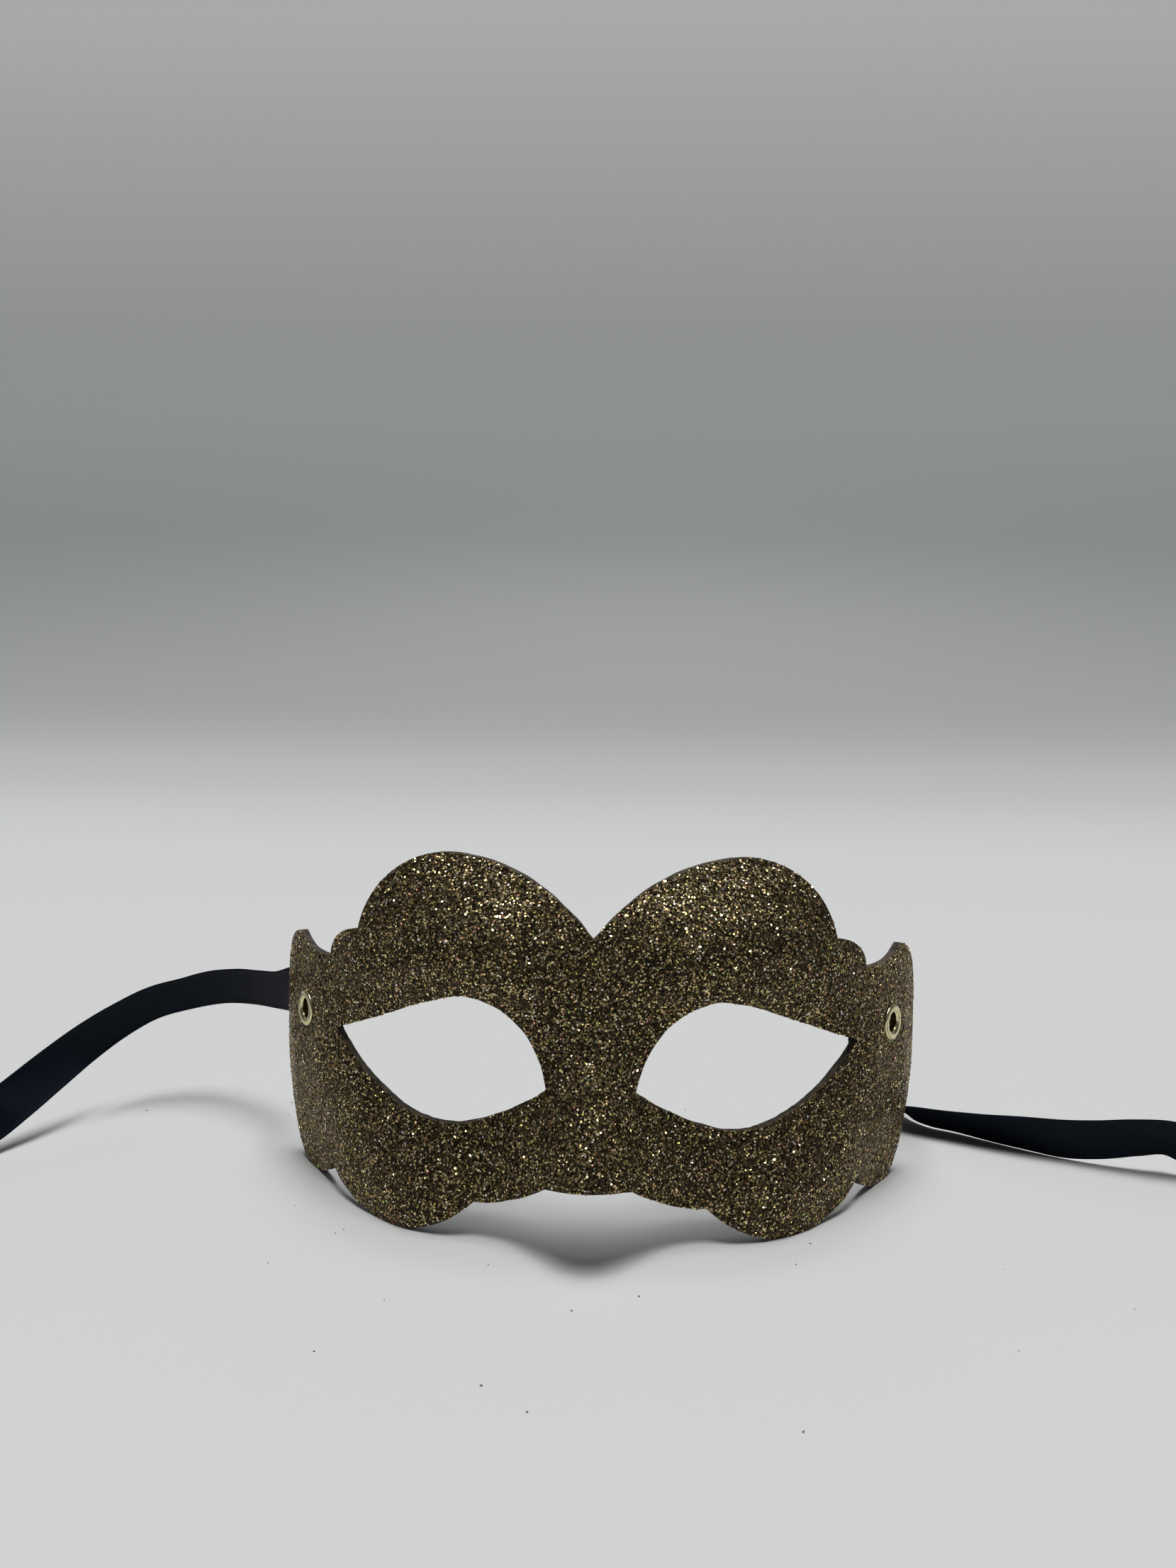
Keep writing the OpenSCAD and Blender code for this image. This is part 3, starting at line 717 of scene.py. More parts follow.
# %% [markdown]
# ## Brass eyelets and washers
# An eyelet is one drawn tube: a domed flange in front, a barrel, and a back edge that the
# press rolls over a washer. A torus and two cylinders would come close, but they'd meet in
# hard seams. So a half profile made of arcs is spun round the axis, and the arcs catch the
# light as real pressed brass does.

# %% Turning brass
SPIN = 96
BORE_R, BARREL_R, FLANGE_R, WASHER_R = 0.0025, 0.0029, 0.00475, 0.0045
RIBBON_END_T, WASHER_T, FLANGE_T = 0.0008, 0.0005, 0.0006
BREAK = 0.0001


def arc(centre, radii, start, end, count):
    """Points on an ellipse, from one angle in degrees to another."""
    return [(centre[0] + radii[0] * math.cos(a), centre[1] + radii[1] * math.sin(a))
            for a in np.radians(np.linspace(start, end, count))]


def turned(name, side, profile):
    """A profile of radius and height, spun round the eyelet's axis, with painted shade marked in its bore."""
    angles = np.linspace(0, 2 * math.pi, SPIN, endpoint=False)
    points = [(r * math.cos(a), r * math.sin(a), h) for r, h in profile for a in angles]
    loops = len(profile)
    faces = [(i * SPIN + j, i * SPIN + (j + 1) % SPIN, (i + 1) % loops * SPIN + (j + 1) % SPIN,
              (i + 1) % loops * SPIN + j) for i in range(loops) for j in range(SPIN)]
    piece = solid(name, [eyelet_matrix(side) @ Vector(p) for p in points], faces, merge=0)
    # Points on the bore's wall are marked, and the material paints them dark as painted shade.
    inside = [1.0 if r < BORE_R + BREAK and h < COAT_T else 0.0 for r, h in profile for a in angles]
    piece.data.attributes.new("tarnish", "FLOAT", "POINT").data.foreach_set("value", inside)
    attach(piece, "root")
    return piece


print("brass is turned in", SPIN, "steps, with a bore of", 2 * BORE_R)

# %% [markdown]
# ## The two profiles
# The dome's crest lies between the bore and the rim, and the metal flows down into the bore
# from there. At the back the barrel ends in a small round roll. The washer is a plain flat
# ring that a stamp has cut, so its front rim is slightly rounded and its back more so.

# %% Eyelets and washers
STACK_T = SHELL_T + LINING_T
WASHER_BACK = -(STACK_T + RIBBON_END_T + WASHER_T)
WASHER_FRONT = WASHER_BACK + WASHER_T
CREST_R, LIP, THROAT, ROLL = 0.0036, 0.00008, 0.0005, 0.0004
RIM, BACK_R, BACK_H = 0.0002, 0.0004, 0.0003

eyelet_profile = (arc((CREST_R, COAT_T + LIP), (FLANGE_R - CREST_R, FLANGE_T - LIP), 0, 90, 12)
                  + arc((CREST_R, COAT_T - THROAT), (CREST_R - BORE_R, FLANGE_T + THROAT), 90, 180, 14)[1:]
                  + arc((BARREL_R, WASHER_BACK), (BARREL_R - BORE_R, ROLL), 180, 270, 8)
                  + arc((BARREL_R, WASHER_BACK), (ROLL, ROLL), 270, 360, 8)[1:]
                  + [(BARREL_R, WASHER_BACK), (BARREL_R, COAT_T - BREAK), (FLANGE_R - BREAK, COAT_T)])
washer_profile = ([(HOLE_R, WASHER_BACK + BREAK), (HOLE_R, WASHER_FRONT - BREAK / 2)]
                  + arc((WASHER_R - RIM, WASHER_FRONT - RIM), (RIM, RIM), 90, 0, 5)
                  + arc((WASHER_R - BACK_R, WASHER_BACK + BACK_H), (BACK_R, BACK_H), 0, -90, 6))

eyelets, washers = [], []
for side in SIDES:
    eyelets.append(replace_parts(turned(f"brass_eyelet_{side}", side, eyelet_profile), f"eyelet_{side}"))
    washers.append(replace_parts(turned(f"brass_washer_{side}", side, washer_profile), f"washer_{side}"))
print("turned", len(eyelets), "eyelets and", len(washers), "washers,", SPIN, "steps round")

# %% [markdown]
# ## The clenched ribbon ends
# Behind each wing the ribbon is folded double, so that the eyelet can't tear through one
# layer. A Cloth simulation would fold it, but not to a given place. So the strip's path is
# drawn: it starts where the free run leaves, goes in along the lining, turns over at a soft
# fold and comes back underneath. Then the same punch makes its hole.

# %% Ribbon ends
TAB_OVER, TAB_IN, TUCK = 0.0045, 0.001, 0.0016
NEAR_DEPTH, FAR_DEPTH = STACK_T + 0.00016, STACK_T + 0.00063
PLY_STEPS, FOLD_STEPS = 40, 10


def folded_path(side):
    """Points along the doubled ribbon, at the eyelet's height."""
    inner, outer = EYELET_X - TAB_OVER, HALF_W - TAB_IN
    fold_mid, fold_r = (NEAR_DEPTH + FAR_DEPTH) / 2, (FAR_DEPTH - NEAR_DEPTH) / 2
    route = [(x, FAR_DEPTH) for x in np.linspace(outer, inner + fold_r, PLY_STEPS)]
    route += [(inner + fold_r - fold_r * math.sin(a), fold_mid + fold_r * math.cos(a))
              for a in np.linspace(0, math.pi, FOLD_STEPS)[1:-1]]
    route += [(x, NEAR_DEPTH) for x in np.linspace(inner + fold_r, outer - TUCK, PLY_STEPS)]
    x, depth = (np.array(v) for v in zip(*route))
    return place(SIDES[side] * x, np.full(len(x), EYELET_Z), depth)


def ribbon_end(side):
    """The doubled end of one ribbon, with its hole."""
    line = folded_path(side)
    thick = unit(np.cross(unit(np.gradient(line, axis=0)), (0, 0, 1)))
    leaning = np.array([0, LEAN, 1]) * RIBBON_W / 2
    points = np.stack([line + leaning * u + thick * (face * min(half_thickness(u), RIBBON_T / 2))
                       for u, face in RING], axis=1).reshape(-1, 3)
    piece = solid(f"clenched_end_{side}", points, band_faces(len(line)), merge=0)
    punch(piece, (side,))
    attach(piece, "root")
    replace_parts(piece, f"ribbon_tab_{side}")
    print(piece.name, len(piece.data.polygons), "faces")
    return piece


ribbon_ends = [ribbon_end(side) for side in SIDES]

# %% [markdown]
# ## Loose glitter
# Craft glitter is cut foil: tiny hexagons of about half a millimetre. Most of them lie flat in
# the varnish and are left to the material. Thousands stand up enough to flash. A particle
# system could scatter them too, but its copies would have to be made real before an export.
# So they are real plates from the start, and their places are drawn evenly over the area.

# %% Places on the front
PLATE_COUNT = 8200
PLATE_R = (0.00013, 0.00034)


def front_spots(count):
    """Random places on the front, spread by area, with their outward directions."""
    heights, _ = bands(0.0)
    quads = []
    for z in heights:
        p = place(columns[:, None], z, np.full(z.shape, -COAT_T))
        quads.append(np.stack([p[:-1, :-1], p[1:, :-1], p[1:, 1:], p[:-1, 1:]], axis=2).reshape(-1, 4, 3))
    q = np.vstack(quads)
    normal = np.cross(q[:, 1] - q[:, 0], q[:, 3] - q[:, 0])
    area = np.linalg.norm(normal, axis=1)
    pick = rng.choice(len(q), count, p=area / area.sum())
    u, v = rng.random((2, count, 1))
    a, b, c, d = (q[pick, k] for k in range(4))
    spot = (a * (1 - u) + b * u) * (1 - v) + (d * (1 - u) + c * u) * v
    out = normal[pick] / area[pick][:, None]
    out *= -np.sign(out @ (0, 1, 0))[:, None]
    print(f"the front has {area.sum() * 1e6:.0f} square mm")
    middles = [np.array(eyelet_matrix(side).translation) for side in SIDES]
    clear = np.all([np.linalg.norm(spot - m, axis=1) > FLANGE_R + PLATE_R[1] for m in middles], axis=0)
    return spot[clear], out[clear]


front_at, front_out = front_spots(PLATE_COUNT)
print(len(front_at), "plates on the front")

# %% [markdown]
# ## Lumps on the eyes' edges
# Glue gathers at a cut edge, and small lumps of glitter stick there. They are the same plates,
# strewn over the thickness of the edge. Most lie on the upper lids, where the glue ran down.

# %% Places on the edges
EDGE_COUNT = 260
UPPER_SHARE, LEFT_SHARE = 0.7, 0.65
CORNER_CLEAR = 0.002


def edge_spots(count):
    """Random places on the cut edges of the eye openings, with directions out of the front."""
    x = rng.uniform(EYE_IN + CORNER_CLEAR, EYE_OUT - CORNER_CLEAR, count)
    z = np.where(rng.random(count) < UPPER_SHARE, lid_z(upper_lid, x), lid_z(lower_lid, x))
    x = x * np.where(rng.random(count) < LEFT_SHARE, -1, 1)
    depth = rng.uniform(-COAT_T, SHELL_T, count)
    return place(x, z, depth), -inward(x, z)


edge_at, edge_out = edge_spots(EDGE_COUNT)
print(len(edge_at), "plates on the eyes' edges")

# %% [markdown]
# ## The plates themselves
# Every plate is a closed hexagon with its own turn, tilt and tint. Copies of one mesh would be
# lighter in memory, but the coat has to stay a single piece. So all plates go into one mesh,
# and their tints are stored on its points.

# %% Hexagonal plates
PLATE_T = 0.00004
PLATE_LIFT = 0.00006
TILT = 0.6
CORNERS = 6
DIMMEST, BRIGHTEST = 0.7, 1.15
TINTS = np.array([(0.72, 0.54, 0.26), (0.50, 0.35, 0.15), (0.88, 0.75, 0.46), (0.20, 0.13, 0.06),
                  (0.98, 0.92, 0.80), (0.80, 0.82, 0.22), (0.82, 0.42, 0.32), (0.42, 0.72, 0.28),
                  (0.78, 0.58, 0.74)])
TINT_SHARES = np.array([30, 24, 18, 14, 5, 3.5, 2.5, 1.5, 1.5])


def hexagons(spot, out):
    """Twelve points for each plate: its upper six, then its lower six."""
    count = len(spot)
    aside = unit(np.cross(out, rng.normal(size=(count, 3))))
    facing = unit(out + aside * np.abs(rng.normal(0, TILT, count))[:, None])
    t1 = unit(np.cross(facing, aside))
    t2 = np.cross(facing, t1)
    radius = rng.uniform(*PLATE_R, count)[:, None, None]
    angle = np.arange(CORNERS) * 2 * math.pi / CORNERS
    ring = (t1[:, None] * np.cos(angle)[:, None] + t2[:, None] * np.sin(angle)[:, None]) * radius
    middle = (spot + out * PLATE_LIFT)[:, None] + ring
    half = facing[:, None] * PLATE_T / 2
    return np.concatenate([middle + half, middle - half], 1).reshape(-1, 3)


def hexagon_faces(count):
    """Six sides and two flat faces for each plate."""
    sides = [(k, k + CORNERS, (k + 1) % CORNERS + CORNERS, (k + 1) % CORNERS) for k in range(CORNERS)]
    flats = [tuple(range(CORNERS)), tuple(range(2 * CORNERS - 1, CORNERS - 1, -1))]
    first = np.arange(count) * 2 * CORNERS
    faces = (np.array(sides)[None] + first[:, None, None]).reshape(-1, 4).tolist()
    return faces + [tuple(v + int(i) for v in flat) for i in first for flat in flats]


def plates(name, spot, out):
    """Closed hexagonal plates, each with one tint on all its points."""
    count = len(spot)
    mesh = bpy.data.meshes.new(name)
    mesh.from_pydata(hexagons(spot, out).tolist(), [], hexagon_faces(count))
    tint = TINTS[rng.choice(len(TINTS), count, p=TINT_SHARES / TINT_SHARES.sum())]
    tint = np.clip(tint * rng.uniform(DIMMEST, BRIGHTEST, (count, 1)), 0, 1)
    colour = np.column_stack([np.repeat(tint, 2 * CORNERS, axis=0), np.ones(count * 2 * CORNERS)])
    layer = mesh.attributes.new("tint", "FLOAT_COLOR", "POINT")
    layer.data.foreach_set("color", colour.ravel().astype(np.float32))
    return add_object(name, mesh)


glitter = plates("loose_glitter", np.vstack([front_at, edge_at]), np.vstack([front_out, edge_out]))
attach(glitter, "root")
print("loose plates:", len(glitter.data.polygons) // 8)

# %% [markdown]
# ## Helpers for shader nodes
# Nodes can be placed by hand in the Shader Editor. Here they are written down, so that the
# finish can be read and built again. `feed` either links a socket or gives it a plain value,
# and the other helpers make one kind of node each.

# %% Node helpers
def feed(tree, socket, value):
    """Links a socket to the one that is given, or sets its plain value."""
    if isinstance(value, bpy.types.NodeSocket):
        tree.links.new(value, socket)
    elif value is not None:
        socket.default_value = value


def node(tree, kind, settings=None, **inputs):
    """A node with its settings, and its inputs fed by name."""
    made = tree.nodes.new(kind)
    for key, value in (settings or {}).items():
        setattr(made, key, value)
    for key, value in inputs.items():
        feed(tree, made.inputs[key.replace("_", " ")], value)
    return made


def math_node(tree, operation, *values):
    """The result of a Math node."""
    made = node(tree, "ShaderNodeMath", {"operation": operation})
    for socket, value in zip(made.inputs, values):
        feed(tree, socket, value)
    return made.outputs[0]


def vector_node(tree, operation, a, b=None, scale=None):
    """The result of a Vector Math node, whose fourth socket is the scale."""
    made = node(tree, "ShaderNodeVectorMath", {"operation": operation})
    for socket, value in zip([made.inputs[0], made.inputs[1], made.inputs[3]], (a, b, scale)):
        feed(tree, socket, value)
    return made.outputs[0]


def mix_colours(tree, share, first, second):
    """Two colours mixed by a share; its colour sockets are numbers 6 and 7."""
    made = node(tree, "ShaderNodeMix", {"data_type": "RGBA"}, Factor=share)
    feed(tree, made.inputs[6], first)
    feed(tree, made.inputs[7], second)
    return made.outputs[2]


def object_place(tree):
    """The place on the object, in metres, as coordinates for a texture."""
    return node(tree, "ShaderNodeTexCoord").outputs["Object"]


print("node helpers ready")

# %% [markdown]
# ## Effects that finishes share
# Foil cells, clouds of colour and matted fibres are each wanted by more than one material. An
# effect could be built again in each of them, but then a change would have to be made in all.
# So each effect is a node group, built once and placed with its own values. Groups put out
# colours, masks, values and normals only, and the shaders stay in the materials.

# %% Node groups
FLOAT, COLOUR, VECTOR = "NodeSocketFloat", "NodeSocketColor", "NodeSocketVector"


def group(name, ins, outs):
    """An empty node group with its sockets, and the sockets as seen from inside."""
    tree = bpy.data.node_groups.new(name, "ShaderNodeTree")
    for socket, (kind, value) in ins.items():
        tree.interface.new_socket(socket, in_out="INPUT", socket_type=kind).default_value = value
    for socket, kind in outs.items():
        tree.interface.new_socket(socket, in_out="OUTPUT", socket_type=kind)
    return tree, tree.nodes.new("NodeGroupInput").outputs, tree.nodes.new("NodeGroupOutput").inputs


print("groups can be started")

# %% [markdown]
# ## Foil cells
# Real foil flakes are flat, lie at slightly different angles, and are cut from sheets of
# several tints. A flat colour with fine noise would only look like sand. A Voronoi texture
# gives cells with sharp borders, and each cell gets one random tint and one tilted normal.
# The tint and the tilt come from separate random values, or one tint would always flash.

# %% Foil cells
CELL_REACH, BORDER_GAIN = 0.62, 6.0
STEEP_POWER, STEEP_SPAN, STEEP_LOW = 3.0, 3.2, 0.9


def make_foil_cells():
    """Small cells with two random values, a mask of their flat middles, and a tilted normal."""
    tree, ins, outs = group("foil_cells", {"Size": (FLOAT, 0.0005), "Tilt": (FLOAT, 0.4)},
                            {"Random": FLOAT, "Second": FLOAT, "Middle": FLOAT, "Normal": VECTOR})
    cells = node(tree, "ShaderNodeTexVoronoi", {"feature": "F1"}, Vector=object_place(tree),
                 Scale=math_node(tree, "DIVIDE", 1.0, ins["Size"]), Randomness=1.0)
    fresh = node(tree, "ShaderNodeTexWhiteNoise", {"noise_dimensions": "3D"}, Vector=cells.outputs["Color"])
    parts = node(tree, "ShaderNodeSeparateColor", Color=fresh.outputs["Color"]).outputs
    tree.links.new(parts["Red"], outs["Random"])
    tree.links.new(parts["Green"], outs["Second"])
    middle = math_node(tree, "SUBTRACT", CELL_REACH, cells.outputs["Distance"])
    middle = math_node(tree, "MULTIPLY", middle, BORDER_GAIN)
    tree.links.new(node(tree, "ShaderNodeClamp", Value=middle).outputs[0], outs["Middle"])
    # Most cells lie nearly flat, and a few stand up steeply.
    steep = math_node(tree, "POWER", parts["Blue"], STEEP_POWER)
    steep = math_node(tree, "MULTIPLY_ADD", steep, STEEP_SPAN, STEEP_LOW)
    spread = vector_node(tree, "SUBTRACT", cells.outputs["Color"], (0.5, 0.5, 0.5))
    spread = vector_node(tree, "SCALE", spread, scale=math_node(tree, "MULTIPLY", ins["Tilt"], steep))
    normal = node(tree, "ShaderNodeNewGeometry").outputs["Normal"]
    tilted = vector_node(tree, "NORMALIZE", vector_node(tree, "ADD", normal, spread))
    tree.links.new(tilted, outs["Normal"])
    return tree


foil_cells = make_foil_cells()
print("built", foil_cells.name)

# %% [markdown]
# ## Clouds and fibres
# Nothing handmade has one even colour: paint pools, paper browns and brass dulls in patches.
# `cloudy` mixes two colours by soft noise for that. `fibres` gives the height of matted
# fibres, from a stretched noise and a coarser one. Scanned images would be truer, but noise
# has no seams and fits pieces of any size.

# %% Cloudy colour and fibre height
CLOUD_GAIN = 3.0
FINE_SHARE, COARSE_SHARE, COARSER = 0.6, 0.4, 0.4


def make_cloudy():
    """One colour out of two, by soft noise of a given size."""
    tree, ins, outs = group("cloudy", {"First": (COLOUR, (0, 0, 0, 1)), "Second": (COLOUR, (1, 1, 1, 1)),
                                       "Size": (FLOAT, 0.01), "Contrast": (FLOAT, 1.0)}, {"Color": COLOUR})
    scale = math_node(tree, "DIVIDE", 1.0, ins["Size"])
    noise = node(tree, "ShaderNodeTexNoise", Vector=object_place(tree), Scale=scale,
                 Detail=5.0, Roughness=0.6)
    gain = math_node(tree, "MULTIPLY", ins["Contrast"], CLOUD_GAIN)
    swing = math_node(tree, "SUBTRACT", noise.outputs["Fac"], 0.5)
    swing = math_node(tree, "MULTIPLY_ADD", swing, gain, 0.5)
    share = node(tree, "ShaderNodeClamp", Value=swing).outputs[0]
    tree.links.new(mix_colours(tree, share, ins["First"], ins["Second"]), outs["Color"])
    return tree


def make_fibres():
    """Height of matted fibres, squeezed along Z by the stretch."""
    tree, ins, outs = group("fibres", {"Size": (FLOAT, 0.001), "Stretch": (FLOAT, 4.0)}, {"Height": FLOAT})
    place_of = object_place(tree)
    squeeze = node(tree, "ShaderNodeCombineXYZ", X=1.0, Y=1.0, Z=ins["Stretch"]).outputs[0]
    stretched = vector_node(tree, "MULTIPLY", place_of, squeeze)
    scale = math_node(tree, "DIVIDE", 1.0, ins["Size"])
    fine = node(tree, "ShaderNodeTexNoise", Vector=stretched, Scale=scale, Detail=4.0, Distortion=1.5)
    scale = math_node(tree, "MULTIPLY", scale, COARSER)
    coarse = node(tree, "ShaderNodeTexNoise", Vector=place_of, Scale=scale, Detail=3.0)
    total = math_node(tree, "MULTIPLY", coarse.outputs["Fac"], COARSE_SHARE)
    total = math_node(tree, "MULTIPLY_ADD", fine.outputs["Fac"], FINE_SHARE, total)
    tree.links.new(total, outs["Height"])
    return tree


cloudy, fibres = make_cloudy(), make_fibres()
print("built", cloudy.name, "and", fibres.name)

# %% [markdown]
# ## Starting a material
# Every finish below is one Principled shader. What is the same all over a surface is set on
# the shader's own sockets, and only what varies is linked. `between` turns a value from 0 to 1
# into one between two ends, which is how most of these finishes vary their roughness.

# %% Material helpers
def material(name, **values):
    """A material with one Principled shader, and its uniform numbers set on its own sockets."""
    made = bpy.data.materials.new(name)
    made.use_nodes = True
    shader = made.node_tree.nodes["Principled BSDF"]
    for key, value in values.items():
        shader.inputs[key.replace("_", " ")].default_value = value
    return made, made.node_tree, shader


def effect(tree, shared, **inputs):
    """A shared effect placed in a material, with its own values."""
    made = node(tree, "ShaderNodeGroup", {"node_tree": shared}, **inputs)
    return made.outputs


def connect(tree, shader, **varying):
    """Links what varies over the surface to the shader."""
    for key, value in varying.items():
        tree.links.new(value, shader.inputs[key.replace("_", " ")])


def between(tree, value, low, high):
    """Turns a value from 0 to 1 into one from low to high."""
    return math_node(tree, "MULTIPLY_ADD", value, high - low, low)


def ramp(tree, factor, stops, interpolation="LINEAR"):
    """A colour for a value, from stops that each give a place and a colour."""
    made = tree.nodes.new("ShaderNodeValToRGB")
    made.color_ramp.interpolation = interpolation
    while len(made.color_ramp.elements) < len(stops):
        made.color_ramp.elements.new(1.0)
    for element, (at, colour) in zip(made.color_ramp.elements, stops):
        element.position, element.color = at, (*colour, 1)
    tree.links.new(factor, made.inputs["Fac"])
    return made.outputs["Color"]


def bumped(tree, height, strength, distance):
    """A normal that follows a height."""
    return node(tree, "ShaderNodeBump", Height=height, Strength=strength, Distance=distance).outputs["Normal"]


def finish_with(piece, made):
    """Gives a piece its one material."""
    piece.data.materials.clear()
    piece.data.materials.append(made)


print("material helpers ready")

# %% [markdown]
# ## Antique gold glitter
# From a step away the coat reads as dark bronze, and only the cells that happen to face the
# light flash. An even gold with a little sparkle would look like a metal sheet. So most cells
# are dark foil, fewer are gold, and a rare one is green, red or nearly white. The tilted
# normals decide which of them flash, as on the real coat.

# %% Glitter material
FLAKE, FLAKE_TILT = 0.00045, 0.50
FOIL_METAL = 0.85
FOIL_TINTS = [(0.0, (0.010, 0.007, 0.004)), (0.30, (0.040, 0.028, 0.013)), (0.52, (0.13, 0.092, 0.040)),
              (0.72, (0.38, 0.28, 0.125)), (0.88, (0.82, 0.67, 0.36)), (0.952, (0.62, 0.66, 0.15)),
              (0.968, (0.76, 0.36, 0.25)), (0.980, (0.98, 0.92, 0.82))]


def glitter_material():
    """Foil cells over a dark glue, metallic only in the middle of each cell."""
    made, tree, shader = material("antique_gold_glitter", Specular_Tint=(0.80, 0.64, 0.42, 1),
                                  Specular_IOR_Level=0.3)
    cells = effect(tree, foil_cells, Size=FLAKE, Tilt=FLAKE_TILT)
    foil = ramp(tree, cells["Random"], FOIL_TINTS, "CONSTANT")
    glue = effect(tree, cloudy, First=(0.010, 0.008, 0.005, 1), Second=(0.034, 0.026, 0.016, 1), Size=0.006)
    connect(tree, shader, Base_Color=mix_colours(tree, cells["Middle"], glue["Color"], foil),
            Metallic=math_node(tree, "MULTIPLY", cells["Middle"], FOIL_METAL),
            Roughness=between(tree, cells["Second"], 0.13, 0.47), Normal=cells["Normal"])
    return made


def plate_material():
    """Loose foil, with each plate's own tint."""
    made, tree, shader = material("loose_foil", Metallic=0.9)
    tint = node(tree, "ShaderNodeAttribute", {"attribute_name": "tint"}).outputs["Color"]
    cells = effect(tree, foil_cells, Size=0.0008, Tilt=0.0)
    connect(tree, shader, Base_Color=tint, Roughness=between(tree, cells["Random"], 0.12, 0.27))
    return made


finish_with(coat, glitter_material())
finish_with(glitter, plate_material())
print("glitter coat and loose plates are finished")

# %% [markdown]
# ## Paper and lining
# The cut edge shows dark, dyed paper pulp. Inside, thin black paint lies over the same fibres
# and shines a little where it filled them. Modelled fibres would be far too many, so a bump
# gives them, and the lining's gloss follows the same height.

# %% Paper and lining materials
def paper_material():
    """Dull, mottled pulp."""
    made, tree, shader = material("dark_paper_pulp", Roughness=0.85, Specular_IOR_Level=0.25)
    tint = effect(tree, cloudy, First=(0.012, 0.010, 0.008, 1), Second=(0.075, 0.058, 0.040, 1), Size=0.0025)
    pulp = effect(tree, fibres, Size=0.0009, Stretch=0.25)["Height"]
    connect(tree, shader, Base_Color=tint["Color"], Normal=bumped(tree, pulp, 0.8, 0.0003))
    return made


def lining_material():
    """Black paint brushed over fibres."""
    made, tree, shader = material("black_brushed_lining", Specular_IOR_Level=0.4)
    tint = effect(tree, cloudy, First=(0.006, 0.006, 0.007, 1), Second=(0.022, 0.021, 0.022, 1), Size=0.007)
    height = effect(tree, fibres, Size=0.0016, Stretch=5.0)["Height"]
    connect(tree, shader, Base_Color=tint["Color"], Roughness=between(tree, height, 0.80, 0.45),
            Normal=bumped(tree, height, 0.55, 0.0005))
    return made


finish_with(paper, paper_material())
finish_with(lining, lining_material())
print("paper and lining are finished")

# %% [markdown]
# ## Brass
# The eyelets are pale brass, slightly dulled by handling, and the insides of their barrels get painted shade
# in a dark brass colour. One even metal would look new. So two brass tones mix softly, fine scuffs vary the
# gloss, and the turned mesh says by its own attribute where the bore lies.

# %% Brass material
# Dark brass painted into the bore as painted shade.
BORE_SHADE = (0.14, 0.10, 0.045, 1)


def brass_material():
    """Pale brass with scuffs, and painted shade in its bore."""
    made, tree, shader = material("pale_brass", Metallic=1.0)
    tint = effect(tree, cloudy, First=(0.66, 0.56, 0.28, 1), Second=(0.88, 0.82, 0.54, 1), Size=0.003)
    inside = node(tree, "ShaderNodeAttribute", {"attribute_name": "tarnish"}).outputs["Fac"]
    scuffs = effect(tree, fibres, Size=0.0005, Stretch=6.0)["Height"]
    # The marked bore takes the painted shade in place of the brass tones.
    connect(tree, shader, Base_Color=mix_colours(tree, inside, tint["Color"], BORE_SHADE),
            Roughness=between(tree, scuffs, 0.12, 0.42), Normal=bumped(tree, scuffs, 0.12, 0.0001))
    return made


brass = brass_material()
for piece in (*eyelets, *washers):
    finish_with(piece, brass)
print("brass on", len(eyelets) + len(washers), "pieces")

# %% [markdown]
# ## Black satin
# Satin is woven with long floats, so it shines across its width and stays dark along it, and
# fine ribs run from side to side. Single threads could be modelled, but there are thousands.
# Two wave textures give the ribs and the floats on the strip's own map. The clenched ends
# have no map, so theirs are read from plain places.

# %% Satin material
RIB_SCALE, FLOAT_SCALE, FLOAT_SHARE = 1100.0, 700.0, 0.4


def satin_material(name, mapped):
    """Satin; mapped reads the strip's own weave map, and plain reads places instead."""
    made, tree, shader = material(name, Anisotropic=0.5, Specular_IOR_Level=0.14,
                                  Specular_Tint=(0.6, 0.75, 1.0, 1))
    tint = effect(tree, cloudy, First=(0.0014, 0.0022, 0.0045, 1), Second=(0.003, 0.0045, 0.009, 1),
                  Size=0.009)
    cloth = node(tree, "ShaderNodeUVMap", {"uv_map": "weave"}).outputs["UV"] if mapped else object_place(tree)
    ribs = node(tree, "ShaderNodeTexWave", {"bands_direction": "Y" if mapped else "Z"}, Vector=cloth,
                Scale=RIB_SCALE, Distortion=0.6, Detail=2.0).outputs["Fac"]
    floats = node(tree, "ShaderNodeTexWave", {"bands_direction": "X"}, Vector=cloth, Scale=FLOAT_SCALE,
                  Distortion=1.5).outputs["Fac"]
    height = math_node(tree, "MULTIPLY_ADD", floats, FLOAT_SHARE, ribs)
    connect(tree, shader, Base_Color=tint["Color"], Roughness=between(tree, ribs, 0.48, 0.63),
            Normal=bumped(tree, height, 0.35, 0.00006))
    return made


run_satin, end_satin = satin_material("satin_run", True), satin_material("satin_end", False)
for piece in ties:
    finish_with(piece, run_satin)
for piece in ribbon_ends:
    finish_with(piece, end_satin)
print("satin on", len(ties) + len(ribbon_ends), "pieces")

# %% [markdown]
# ## The table and the wall
# A pale table runs back and sweeps up into a grey wall without a corner. Two planes would
# show a hard line where they meet, so one curved sheet carries both.

# %% Table and wall
TABLE_END, WALL_BEND, WALL_H, TABLE_HALF = 1.1, 0.75, 2.8, 3.0
FRONT_END = -1.2
BEND_STEPS, BEND_LEAD = 48, 0.01


